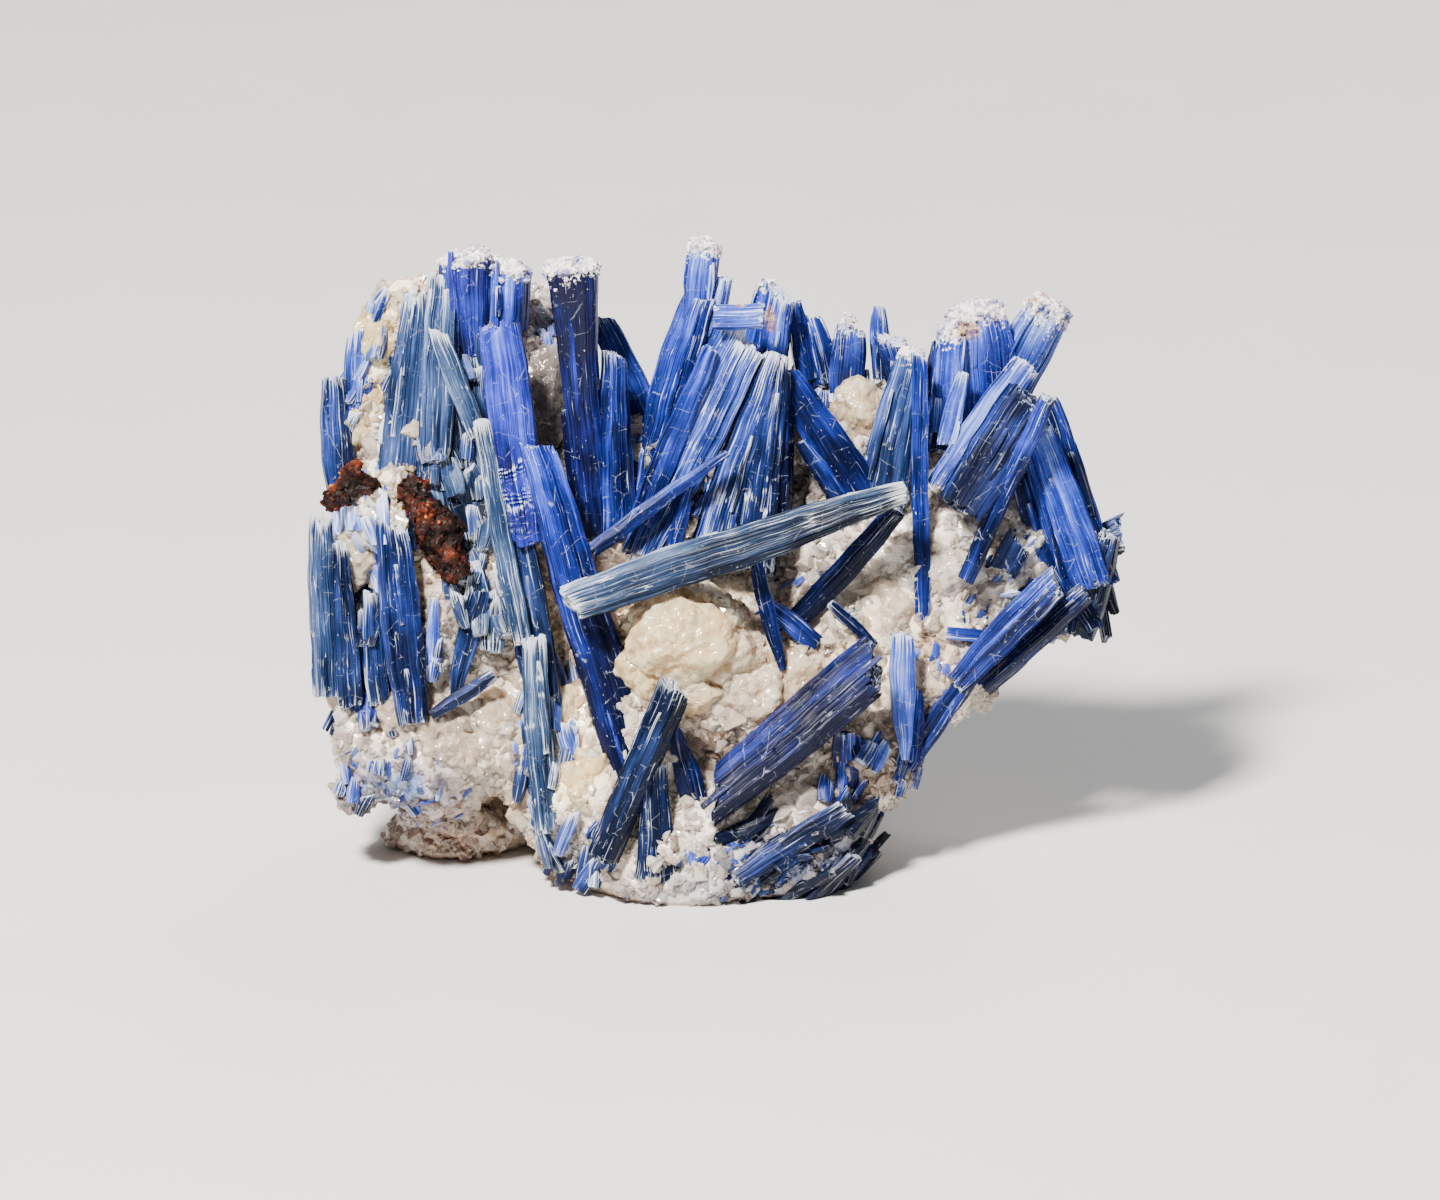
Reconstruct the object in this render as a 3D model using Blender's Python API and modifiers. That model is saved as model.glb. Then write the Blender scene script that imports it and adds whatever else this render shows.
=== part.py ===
"""Kyanite blade cluster: blades of blue kyanite grown through a block of white quartz, with rusty iron oxide.

The specimen is laid out on its display face, in millimetres: ACROSS it to the right, UP it, and PROUD of it
(towards someone who looks at it). The face leans back from the vertical by FACE_LEAN. The finished cluster is
in metres, +Z up, and stands on a flat broken base at Z = 0, with its origin on that base.
"""

import math
import random

import bmesh
import bpy
from mathutils import Matrix, Vector, noise
from mathutils.bvhtree import BVHTree

MM = 0.001
FACE_LEAN = math.radians(20)
FACE_FOOT = Vector((0, -30, 0)) * MM  # where the bottom of the display face meets the floor
GAP = 0.35  # between pieces that touch, in mm
FLAT = math.radians(1)  # faces that turn less than this against each other are one face
SIZE = 300  # side of the block that levels the base, in mm

# Quartz: ellipsoids that flow together into one rock. (across, up, proud), (half width, half height, half depth)
QUARTZ_LUMPS = (
    ((-4, 36, -28), (34, 24, 20)),  # core
    ((-36, 42, -26), (20, 28, 14)),
    ((30, 50, -28), (24, 18, 12)),
    ((-6, 60, -27), (24, 12, 9)),
    ((-6, 20, -40), (32, 12, 18)),  # heel, at the back of the base
    ((-40, 11, -24), (12, 4.5, 10)),
    ((-4.5, 7, -9.5), (18.5, 12, 11.5)),  # prow, at the front of the base
    ((9, 7, -11.5), (12, 9, 10.5)),
    ((-19.5, 16, -10), (12, 11, 10)),
    ((11, 14, -11), (13, 10, 10)),
    ((20, 22, -16), (10, 9, 12)),
    ((-5.5, 40.3, -5), (10, 8.6, 8.3)),  # cream boss under the crossing blade
    ((4.5, 31, -9), (13, 10, 9)),
    ((-12, 27, -8), (10, 11, 8)),
    ((20, 40, -15), (13, 12, 9)),  # bed on the right
    ((31.5, 52, -17), (14, 13, 10)),
    ((43.5, 52, -19), (11, 11, 10)),
    ((33, 37, -16), (10, 10, 9)),
    ((50, 47.5, -20), (8, 7.5, 9)),
    ((20, 53, -18), (13, 11, 9)),
    ((52.5, 54, -22), (5.5, 7, 6)),
    ((12, 64, -22), (11, 13, 9)),  # knobs of the crown, between the upright blades
    ((22, 71, -18), (7.5, 8.5, 7)),
    ((14.5, 76, -22), (5, 8, 6)),
    ((31, 70, -21), (8, 9, 7)),
    ((40, 70, -22), (9, 9, 8)),
    ((-11, 67, -18), (7, 8, 7)),
    ((-18, 60, -22), (12, 12, 9)),
    ((-26, 73, -20), (6, 13, 6)),
    ((-27, 89.5, -22), (3.5, 5.5, 4)),
    ((-35, 82, -17), (8, 12, 7)),
    ((-44, 67, -17), (13, 20, 9)),  # left wall
    ((-48.5, 85, -14), (6.5, 7.5, 6)),
    ((-42, 90, -17), (7.5, 5.5, 6)),
    ((-54, 75, -13), (4.5, 6, 5)),
    ((-50.5, 58, -6.5), (6, 8, 5)),
    ((-41, 42, -9), (8, 12, 6)),
    ((-50.5, 42, -14), (7.5, 14, 8.5)),
    ((-48, 50, -17), (10, 20, 9)),
    ((-33, 46, -14), (9, 16, 9)),
    ((-43, 23, -11), (14, 9, 9)),  # block at the lower left, which overhangs the floor
    ((-54.5, 24, -12.5), (5, 10, 7)),
    ((-30, 26, -11), (8, 10, 8)),
)
RUST_LUMPS = {
    "rust_mass_large": (
        ((-46.2, 62, -3), (3.4, 3.6, 3.4)),
        ((-44.6, 58, -2), (4.4, 3.8, 3.8)),
        ((-41, 56.6, -2), (4, 3.2, 3.6)),
        ((-42.2, 53.4, -2), (3.6, 3.6, 3.4)),
        ((-39.8, 51, -2), (2.8, 3, 3)),
    ),
    "rust_mass_small": (
        ((-55.4, 65.4, -3.6), (2.4, 2.6, 2.6)),
        ((-53.6, 63, -3), (3, 2, 2.8)),
        ((-57.6, 61, -3.6), (2.6, 2.4, 2.8)),
    ),
}

# Kyanite: node, foot and tip (across, up, proud), widths at foot, middle and tip, thickness, turn in degrees.
# Blades with one node name have grown into each other. With no turn, a blade shows its broad side.
BLADES = (
    ("outer_left_blade", (-57, 61, -10), (-58.5, 81, -8), (5, 6, 3.6), 3.4, 20),
    ("rear_left_blade", (-55.2, 75, -10), (-54.4, 88, -9.5), (3.6, 4, 3), 3.4, 0),
    ("pale_flank_blades", (-49.2, 63, -8), (-45.8, 94, -9), (6.6, 6.2, 3.6), 4, -10),
    ("pale_flank_blades", (-44.5, 63, -7), (-42.5, 96, -9.5), (4.4, 4.4, 3.6), 4.4, 15),
    ("pale_flank_blades", (-41.8, 67, -6), (-40.5, 93, -8), (3, 3.4, 2.6), 3.4, -20),
    ("slanted_shard", (-36.3, 70, -5), (-42.8, 87.8, -5), (3, 3.8, 2.8), 2.2, 10),
    ("left_crown_block", (-37.5, 83, -12), (-38.3, 99.6, -6.5), (6, 7.4, 8.4), 6, 10),
    ("left_crown_block", (-32.6, 82, -13.5), (-32, 98, -8), (5.4, 6.4, 6.4), 6, -15),
    ("violet_blade", (-29, 54, -3.5), (-33.5, 88, -2.5), (5.6, 7.6, 6.4), 4.6, -5),
    ("royal_diagonal_blade", (-12.4, 18, -3), (-28, 71, 0), (7.6, 8.4, 5.6), 4.2, 5),
    ("teal_blades", (-29.6, 39, -1.5), (-36, 73.4, -2.5), (3.2, 3.6, 2.8), 2.6, 0),
    ("teal_blades", (-26, 10.6, -2.5), (-28.2, 41, -1), (4.6, 4.8, 4.2), 3.6, 10),
    ("teal_blades", (-26.3, 30, -4), (-31.2, 57, -4), (5, 6.6, 5), 3, -10),
    ("pillar_blades", (-19, 55, -14), (-22.8, 97.6, -3), (7.6, 6, 9), 6.4, -10),
    ("pillar_blades", (-15.6, 55, -12), (-16.2, 84.3, -6), (5.6, 5, 3.2), 4.6, 20),
    ("pillar_back_blade", (-9.2, 69, -17), (-18.5, 90, -16), (5.6, 5.2, 4), 3, 0),
    ("spire_blades", (-10.2, 67, -14), (-2.6, 92.6, -8.5), (6, 7, 5.2), 5, 5),
    ("spire_blades", (-4.4, 84, -11), (-2.2, 100.8, -6), (5.4, 5.4, 5.2), 4.4, -5),
    ("spire_blades", (-2.4, 83, -10.5), (0.9, 94.8, -8), (4, 3.8, 2.4), 3, -10),
    ("fan_blades", (-12.6, 52, -6), (5, 88, -3.6), (5.6, 8.6, 8), 4, -10),
    ("fan_blades", (-12.4, 57, -4), (-1.2, 84.3, -1.6), (4, 4.2, 2.6), 3, 15),
    ("broken_plate", (-1.4, 88.6, -0.6), (7.2, 88.8, -0.4), (4.2, 4.2, 4.2), 1.8, -10),
    ("twin_tip_blades", (6.2, 72, -14.5), (9.5, 94, -8), (4.6, 5.2, 4.4), 4, 0),
    ("twin_tip_blades", (4.6, 82, -13), (7, 95, -9.5), (3.4, 3.8, 2.8), 3, 0),
    ("big_fan_blades", (-2.2, 51, -7), (8.1, 83.6, -4), (6.6, 5.4, 2.6), 4.4, 10),
    ("big_fan_blades", (3.8, 50, -7), (9, 83, -5), (8.4, 6, 2.8), 5.2, -5),
    ("big_fan_blades", (7.8, 53, -8), (9.8, 80.6, -6), (4.8, 4.2, 2.2), 4.2, -20),
    ("leaning_blades", (22, 60, -10), (9.6, 80.6, -8), (7, 6.4, 3.6), 4.2, 0),
    ("leaning_blades", (20, 58.5, -9.5), (12, 70.3, -7.5), (3.2, 3.2, 1.6), 3, 10),
    ("rear_dark_blades", (16.2, 78, -16), (13, 90.6, -15.5), (4.8, 5.2, 3.6), 3.6, 0),
    ("rear_dark_blades", (13, 79, -15.5), (11, 91.6, -14.5), (3.4, 3.6, 2.6), 3, 0),
    ("stub_blades_left", (18.8, 75, -17), (19.8, 88.2, -12.5), (4.6, 6, 4.4), 4, 15),
    ("stub_blades_left", (19, 80, -16), (19.4, 89.8, -16), (2.6, 3, 2.2), 2.6, 0),
    ("stub_blades_right", (28.4, 76, -16.5), (25.2, 87, -12), (5.4, 5.6, 4.8), 4, -10),
    ("stub_blades_right", (24.6, 79, -16), (24, 90.6, -16), (3.4, 3.8, 2.4), 3, 0),
    ("grey_broad_blade", (23.6, 59, -9.5), (29.2, 84.5, -9), (7.4, 6.6, 3.8), 4, -5),
    ("thin_upright_blade", (30.4, 43, -8), (29.9, 83.6, -4), (2.2, 2.7, 2.4), 2.2, 0),
    ("dark_flank_blade", (31.8, 68, -12), (33.6, 85.3, -12), (4, 4.2, 3), 4, 10),
    ("right_crown_block", (40, 70, -17), (38.2, 91.2, -10), (8, 11.6, 7), 7, 5),
    ("right_crown_block", (33.6, 68, -12.5), (35.2, 88, -9), (3.8, 4.8, 5), 4, -10),
    ("pale_splinter_right", (34, 69, -7.5), (36.6, 80.6, -7), (3, 3.4, 1.8), 2.8, 0),
    ("far_right_spire", (41, 74, -16), (50.2, 91.6, -11), (7, 8.2, 6.8), 5.6, 0),
    ("pale_diagonal_blade", (32.6, 62.6, -7), (46.6, 82, -6.5), (4.4, 5.6, 5), 3, -5),
    ("navy_diagonal_blade", (35.4, 59.2, -4), (47.6, 78.2, -3.5), (7, 8, 7.4), 4, 0),
    ("thin_diagonal_blade", (36.8, 48.6, -7), (49.4, 76.8, -0.5), (3, 3.5, 3), 2.6, 0),
    ("right_ribs", (55.6, 47, -10.5), (47.2, 72, -9), (7.4, 7.6, 5.6), 5, 0),
    ("right_ribs", (58.6, 48, -14), (49.6, 76.6, -12), (4.6, 4.8, 3.6), 4, -10),
    ("right_ribs", (49.6, 50, -11.5), (44.2, 66.2, -10), (2.8, 3, 2.2), 2.6, 10),
    ("east_nub", (55, 53.6, -18), (62.4, 56.6, -17.5), (4, 5.6, 6.4), 2.6, 0),
    ("right_bend_blade", (53.6, 40.4, -15), (58, 57, -12), (5.6, 7.6, 6), 6, 15),
    ("edge_blades", (35, 33, -6.5), (51.6, 50.4, -5), (3.6, 5.4, 4.6), 3.6, 10),
    ("edge_blades", (39, 33, -10), (55.4, 47.6, -8.5), (3.6, 4.2, 3.4), 4, -15),
    ("edge_blades", (27.6, 20.4, -11), (41, 40, -6.5), (3, 4, 3.2), 3.6, 20),
    ("hanging_fan", (27.8, 21.8, -5.5), (27.4, 41.6, -3), (1.2, 4.2, 3.4), 2.6, 0),
    ("hanging_fan", (29, 21.4, -8), (29.8, 33, -7), (2, 2.8, 1.6), 2.4, 10),
    ("foreground_block", (-3.8, 13.5, 1), (25.6, 38.1, 3), (7.4, 9.6, 9.6), 6.4, -12),
    ("under_fans", (18.4, 14.6, -7), (18.9, 26.6, -3), (5.6, 5, 4), 3, 10),
    ("crossed_stub_blades", (-18, 6.6, 1), (-6.3, 34.4, 5), (4.6, 5.2, 5.4), 4, -15),
    ("crossed_stub_blades", (-9.4, 3.2, 0.4), (-9.8, 21.6, 2), (8, 5.2, 4), 3, 10),
    ("blue_wedge_blade", (-3.8, 15, -3), (-6.8, 27, -0.5), (4.2, 3.8, 1.4), 2.4, 10),
    ("crossing_blade", (-23.9, 45.2, 5.8), (28.3, 62.6, 3.4), (5.2, 6.2, 3.2), 4.4, 8),
    ("lance_blade", (-19.6, 53.4, -1.8), (1.3, 68.4, 0), (2.6, 2.7, 1.3), 1.8, 0),
    ("sprout_blade", (-7.4, 51.6, -5), (-4.4, 63, -2.5), (2, 2.7, 1), 1.7, 0),
    ("rod_blade", (10.6, 42, -7), (27, 60, -2.5), (3.6, 4.3, 3.4), 3.4, 0),
    ("drop_blade", (9.5, 35.4, -1.2), (5, 52.4, -1), (1.2, 2.7, 2), 1.8, 0),
    ("side_plate", (14.8, 39, -6), (7.6, 45.4, -4.4), (3.4, 3.5, 2.6), 1.7, 0),
    ("sprig_blade", (23.4, 39, -6), (16.4, 45.8, -4.4), (1.4, 2, 1.6), 1.5, 0),
    ("tab_blade", (40.4, 40.6, -7), (33.8, 41.4, -5.6), (2, 2.1, 2), 1.5, 0),
    ("rhomb_plate", (42.3, 50, -8.5), (45.7, 56.6, -7.2), (4.6, 4.7, 4.4), 2, 0),
    ("lower_left_rim_blade", (-59.4, 31, -9), (-60.2, 59.6, -7), (4.2, 4.6, 3.6), 5, 15),
    ("lower_left_blades", (-55.4, 29.6, -5.5), (-57, 55.4, -4), (4.6, 4.2, 2.6), 3.4, -10),
    ("lower_left_blades", (-51.2, 30, -4.6), (-52.8, 48, -3), (3.6, 3.6, 2), 3.4, 15),
    ("lower_left_blades", (-46, 26.8, -3), (-49.6, 59.6, -1), (5.4, 7.2, 5), 4.2, -5),
    ("pale_splinter_left", (-43.2, 33.6, -3.4), (-42.9, 46.4, -2), (1.6, 2.5, 1.6), 1.7, 0),
    ("dark_shard_left", (-40, 31, -4.4), (-36, 48.2, -2.6), (1.4, 3.9, 3.4), 2.2, 0),
    ("low_cross_blade", (-43.6, 28.8, -2.6), (-33.6, 35, -1.4), (1.6, 2.6, 2), 1.8, 0),
    ("bottom_edge_blade", (2, 4.2, 1.2), (19.4, 15, -2), (3, 4.6, 3.4), 3.8, 15),
    ("back_blade_low", (-26, 20, -52.5), (12, 34, -50), (6, 7.4, 5), 4.4, 180),
    ("back_blade_high", (18, 46, -42), (-18, 64, -35), (7, 7.6, 5.6), 4.6, 170),
    ("back_blade_left", (-42, 32, -34), (-47, 74, -26), (6.4, 7, 5), 4.4, 195),
    ("back_blade_right", (22, 36, -44), (38, 64, -36), (6, 6.6, 5), 4, 165),
)

STOUT = 3.9  # a blade this thick, in mm, has the fuller section
CORNERS_STOUT, CORNERS_THIN = 8, 6  # of a blade's section
RINGS_LONG, RINGS_SHORT = (0, 0.3, 0.68, 1), (0, 0.5, 1)  # where its sections stand, foot to tip
SHORT = 15  # mm
RIDGE = 0.13  # how far a corner stands in or out, as a share of the half width
JAG = 0.3  # how uneven a broken end is, as a share of the width
SLANTS = {"foreground_block": (-7, 4)}  # how far, in mm, the foot and the tip are cut back across the width
QUARTZ_VOXEL, QUARTZ_ROUGH, QUARTZ_TRIANGLES = 2.2, 1.7, 1750
RUST_VOXEL, RUST_ROUGH, RUST_TRIANGLES = 1.2, 0.9, 90

COLOURS = {  # base colour, roughness
    "kyanite": ((0.08, 0.17, 0.60, 1), 0.35),
    "quartz": ((0.80, 0.76, 0.70, 1), 0.3),
    "iron_oxide": ((0.13, 0.04, 0.02, 1), 0.6),
}

FACE = Matrix.Translation(FACE_FOOT) @ Matrix.Rotation(-FACE_LEAN, 4, "X")


def at(across, up, proud):
    """The place in the room of a point given on the display face, in mm."""
    return FACE @ (Vector((across, -proud, up)) * MM)


def material(name):
    colour, roughness = COLOURS[name]
    made = bpy.data.materials.new(name)
    made.use_nodes = True
    shader = made.node_tree.nodes["Principled BSDF"]
    shader.inputs["Base Color"].default_value = colour
    shader.inputs["Roughness"].default_value = roughness
    shader.inputs["Metallic"].default_value = 0
    return made


def add_object(name, mesh, collection):
    made = bpy.data.objects.new(name, mesh)
    collection.objects.link(made)
    return made


def blade_mesh(row, grow=0.0):
    """A blade: a flattened prism with flat sides, whose section changes from foot to tip and whose ends are broken.

    Corner k of the section stands at angle a on a rounded oblong, pushed in or out by the same ridge all the way
    along the blade. At the two ends it also moves along the blade: at random, and by a slant that cuts back the side
    it has the sign of. grow makes the blade larger all round, in mm.
    """
    node, foot, tip, widths, thickness, turn = row
    chance = random.Random(node + str(foot))
    start, end = at(*foot), at(*tip)
    along = (end - start).normalized()
    towards = (at(0, 0, 1) - at(0, 0, 0)).normalized()
    flat = (towards - along * towards.dot(along)).normalized()
    flat.rotate(Matrix.Rotation(math.radians(turn), 3, along))
    side = along.cross(flat)
    corners = CORNERS_STOUT if thickness >= STOUT else CORNERS_THIN
    places = RINGS_SHORT if (end - start).length < SHORT * MM else RINGS_LONG
    ridges = [1 + RIDGE * chance.uniform(-1, 1) for _ in range(corners)]
    made = bmesh.new()
    rings = []
    for place in places:
        low, middle, high = widths
        bulge = 4 * place * (1 - place)
        width = low + (high - low) * place + bulge * (middle - (low + high) / 2)
        centre = start.lerp(end, place)
        if place in (0, 1):
            centre = centre + along * (grow * MM if place else -grow * MM)
        jag = JAG * width if place in (0, 1) else 0
        deep = thickness * (0.8 + 0.2 * width / max(widths))
        ring = []
        for corner in range(corners):
            angle = 2 * math.pi * (corner + 0.5) / corners
            reach = math.copysign(abs(math.cos(angle)) ** 0.55, math.cos(angle))
            rise = math.copysign(abs(math.sin(angle)) ** 0.7, math.sin(angle))
            x = reach * (width / 2 * ridges[corner] + grow) * MM
            y = rise * (deep / 2 * ridges[corner] + grow) * MM
            step = chance.uniform(-1, 1) * jag / 2
            if place in (0, 1):
                slant = SLANTS.get(node, (0, 0))[place]
                step += (-1 if place else 1) * (abs(slant) + slant * reach) / 2
            ring.append(made.verts.new(centre + side * x + flat * y + along * (step * MM)))
        rings.append(ring)
    for low_ring, high_ring in zip(rings, rings[1:]):
        for k in range(corners):
            after = (k + 1) % corners
            made.faces.new((low_ring[k], low_ring[after], high_ring[after], high_ring[k]))
    made.faces.new(list(reversed(rings[0])))
    made.faces.new(rings[-1])
    bmesh.ops.triangulate(made, faces=made.faces)
    bmesh.ops.recalc_face_normals(made, faces=made.faces)
    mesh = bpy.data.meshes.new(node)
    made.to_mesh(mesh)
    made.free()
    return mesh


def settle(obj):
    """Replaces an object's mesh by what its modifiers make of it, without loose crumbs: only the largest body stays."""
    bpy.context.view_layer.update()
    graph = bpy.context.evaluated_depsgraph_get()
    obj.data = bpy.data.meshes.new_from_object(obj.evaluated_get(graph))
    obj.modifiers.clear()
    whole = bmesh.new()
    whole.from_mesh(obj.data)
    bmesh.ops.dissolve_limit(whole, angle_limit=FLAT, verts=whole.verts, edges=whole.edges)
    bmesh.ops.triangulate(whole, faces=whole.faces)
    unseen, bodies = set(whole.verts), []
    while unseen:
        body, edge_of = set(), [unseen.pop()]
        while edge_of:
            vert = edge_of.pop()
            body.add(vert)
            near = {e.other_vert(vert) for e in vert.link_edges} & unseen
            unseen -= near
            edge_of.extend(near)
        bodies.append(body)
    bodies.sort(key=len)
    bmesh.ops.delete(whole, geom=[v for body in bodies[:-1] for v in body], context="VERTS")
    whole.to_mesh(obj.data)
    whole.free()


def combine(obj, operation, others):
    """Joins others to obj, or cuts them from it."""
    for other in others:
        modifier = obj.modifiers.new(operation.lower(), "BOOLEAN")
        modifier.operation = operation
        modifier.solver = "EXACT"
        modifier.object = other
    settle(obj)


def tree_of(obj):
    return BVHTree.FromPolygons([v.co for v in obj.data.vertices], [p.vertices for p in obj.data.polygons])


def rock(name, lumps, voxel, rough, triangles, collection):
    """A rock: ellipsoids flowed together, roughened, and broken down to flat facets."""
    made = bmesh.new()
    for (across, up, proud), (half_width, half_height, half_depth) in lumps:
        place = Matrix.Translation(at(across, up, proud)) @ Matrix.Rotation(-FACE_LEAN, 4, "X")
        size = Matrix.Diagonal((half_width * MM, half_depth * MM, half_height * MM, 1))
        bmesh.ops.create_icosphere(made, subdivisions=3, radius=1, matrix=place @ size)
    mesh = bpy.data.meshes.new(name)
    made.to_mesh(mesh)
    made.free()
    obj = add_object(name, mesh, collection)
    remesh = obj.modifiers.new("flow together", "REMESH")
    remesh.mode = "VOXEL"
    remesh.voxel_size = voxel * MM
    settle(obj)
    broad, fine = 0.14 / MM, 0.4 / MM
    for vert, normal in zip(obj.data.vertices, [v.normal.copy() for v in obj.data.vertices]):
        swell = noise.noise(vert.co * broad) + 0.5 * noise.noise(vert.co * fine)
        vert.co += normal * (rough * MM * swell)
    decimate = obj.modifiers.new("facets", "DECIMATE")
    decimate.ratio = triangles / len(obj.data.polygons)
    settle(obj)
    return obj


def level_base(obj, cutters):
    """Breaks the rock off flat at the floor."""
    made = bmesh.new()
    bmesh.ops.create_cube(made, size=SIZE * MM, matrix=Matrix.Translation((0, 0, -SIZE * MM / 2)))
    mesh = bpy.data.meshes.new("floor")
    made.to_mesh(mesh)
    made.free()
    floor = add_object("floor", mesh, cutters)
    combine(obj, "DIFFERENCE", [floor])
    return floor


def grown(obj, name, cutters):
    """A copy of a rock that is larger all round by the gap, to cut its neighbours with."""
    mesh = obj.data.copy()
    for vert, normal in zip(mesh.vertices, [v.normal.copy() for v in mesh.vertices]):
        vert.co += normal * (GAP * 1.3 * MM)
    return add_object(name, mesh, cutters)


def centre_over_origin(collection):
    """Moves the meshes along the floor until the middle of their bounding box is over the origin."""
    points = [vert.co for obj in collection.objects for vert in obj.data.vertices]
    middle_x = (min(p.x for p in points) + max(p.x for p in points)) / 2
    middle_y = (min(p.y for p in points) + max(p.y for p in points)) / 2
    print(f"moved by {-middle_x / MM:.3f} across and {-middle_y / MM:.3f} back, in mm")
    for obj in collection.objects:
        obj.data.transform(Matrix.Translation((-middle_x, -middle_y, 0)))


def blade_nodes():
    """Node name to its rows, in the order of the list."""
    nodes = {}
    for row in BLADES:
        nodes.setdefault(row[0], []).append(row)
    return nodes


def main():
    for obj in list(bpy.data.objects):
        bpy.data.objects.remove(obj)
    cluster = bpy.data.collections.new("kyanite_cluster")
    cutters = bpy.data.collections.new("cutters")
    bpy.context.scene.collection.children.link(cluster)
    bpy.context.scene.collection.children.link(cutters)
    kyanite, quartz, iron_oxide = (material(name) for name in COLOURS)

    matrix = rock("quartz_matrix", QUARTZ_LUMPS, QUARTZ_VOXEL, QUARTZ_ROUGH, QUARTZ_TRIANGLES, cluster)
    floor = level_base(matrix, cutters)
    matrix.data.materials.append(quartz)
    taken = [grown(matrix, "matrix_room", cutters)]

    for node, rows in blade_nodes().items():
        blades = [add_object(node, blade_mesh(row), cluster) for row in rows]
        joined = blades[0]
        if len(blades) > 1:
            combine(joined, "UNION", blades[1:])
            for blade in blades[1:]:
                bpy.data.objects.remove(blade)
        shape = tree_of(joined)
        near = [room for room in taken if tree_of(room).overlap(shape)]
        if near:
            combine(joined, "DIFFERENCE", near)
        joined.data.materials.clear()
        joined.data.materials.append(kyanite)
        for row in rows:
            taken.append(add_object(node + "_room", blade_mesh(row, GAP), cutters))

    for node, lumps in RUST_LUMPS.items():
        mass = rock(node, lumps, RUST_VOXEL, RUST_ROUGH, RUST_TRIANGLES, cluster)
        shape = tree_of(mass)
        combine(mass, "DIFFERENCE", [room for room in taken if tree_of(room).overlap(shape)])
        mass.data.materials.append(iron_oxide)
        taken.append(grown(mass, node + "_room", cutters))

    for obj in [*taken, floor]:
        bpy.data.objects.remove(obj)
    bpy.data.collections.remove(cutters)
    centre_over_origin(cluster)


main()
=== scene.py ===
"""The kyanite blade cluster as it looks: striated blue blades, grainy quartz and rusty iron oxide.

Everything is worked out in millimetres on the display face, as (across, up, proud): across it to the right,
up it and proud of it. The face leans back by LEAN, and its foot is at FACE_FOOT. Meshes are in metres.
"""

import math
import random
from collections import namedtuple

import bmesh
import bpy
import numpy as np
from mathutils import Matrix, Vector


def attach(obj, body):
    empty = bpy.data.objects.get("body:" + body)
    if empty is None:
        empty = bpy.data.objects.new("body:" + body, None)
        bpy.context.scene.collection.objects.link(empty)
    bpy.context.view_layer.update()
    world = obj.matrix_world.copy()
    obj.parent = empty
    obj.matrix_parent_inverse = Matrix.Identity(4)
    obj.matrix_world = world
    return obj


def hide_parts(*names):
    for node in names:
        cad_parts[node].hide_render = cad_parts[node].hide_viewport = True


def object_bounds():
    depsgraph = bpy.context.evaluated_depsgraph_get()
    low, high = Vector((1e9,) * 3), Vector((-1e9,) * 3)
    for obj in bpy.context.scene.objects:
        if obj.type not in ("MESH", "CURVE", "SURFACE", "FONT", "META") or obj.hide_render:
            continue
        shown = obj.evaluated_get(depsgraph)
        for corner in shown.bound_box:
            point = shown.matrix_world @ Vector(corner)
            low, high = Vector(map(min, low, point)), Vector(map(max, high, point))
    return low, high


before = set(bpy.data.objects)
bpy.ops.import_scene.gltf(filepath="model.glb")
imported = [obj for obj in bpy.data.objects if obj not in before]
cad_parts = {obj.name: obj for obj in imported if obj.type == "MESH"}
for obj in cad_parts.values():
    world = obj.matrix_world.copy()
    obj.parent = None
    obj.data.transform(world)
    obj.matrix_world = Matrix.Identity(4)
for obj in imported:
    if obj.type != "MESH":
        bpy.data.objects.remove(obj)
CAD_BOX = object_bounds()

MM = 0.001
BOX_LOW, BOX_HIGH = (np.array(corner) / MM for corner in CAD_BOX)

LEAN = math.radians(20)
FACE_FOOT = np.array((-0.973, -30.599, 0.0))
FACE_ACROSS = np.array((1.0, 0.0, 0.0))
FACE_UP = np.array((0.0, math.sin(LEAN), math.cos(LEAN)))
FACE_PROUD = np.array((0.0, -math.cos(LEAN), math.sin(LEAN)))
FACE_AXES = np.stack((FACE_ACROSS, FACE_UP, FACE_PROUD))

# The stage, in metres.
CAMERA_FAR = 2.0
VIEW_WIDTH = 0.216
VIEW_UP = 46.05  # mm up the display face, where the camera looks
SENSOR_WIDTH = 36
LAMPS_AIM = (0, 0, 0.04)
LAMPS = (  # name, place, size, power in watts and colour
    ("key_light", (-0.40, -0.58, 1.00), 0.18, 67.0, (1.0, 0.95, 0.87)),
    ("fill_light", (0.9, -0.9, 0.45), 0.9, 1.2, (0.90, 0.95, 1.0)),
    ("rim_light", (0.35, 0.75, 0.7), 0.5, 7.0, (1.0, 1.0, 1.0)),
)
SKY, SKY_STRENGTH = (0.80, 0.85, 0.92, 1), 0.18
FLOOR_HALF = 4000  # mm
FLOOR_COLOUR, FLOOR_ROUGH = (0.62, 0.62, 0.61), 0.6

# A blade has its foot and tip as (across, up, proud), its widths at foot, middle and tip, its thickness, and
# its turn about its own length in degrees, as in the solids. Its looks are its tone, from 0, navy, to 1,
# pale, its slate, from 0, blue, to 1, grey, or violet below zero, and its wear. Its foot and its tip are
# ragged, "r", or crusted, "c", and cut back by a slant in mm.
Blade = namedtuple("Blade", "foot tip widths thickness turn tone slate wear ends foot_slant tip_slant",
                   defaults=("rr", 0, 0))

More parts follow.
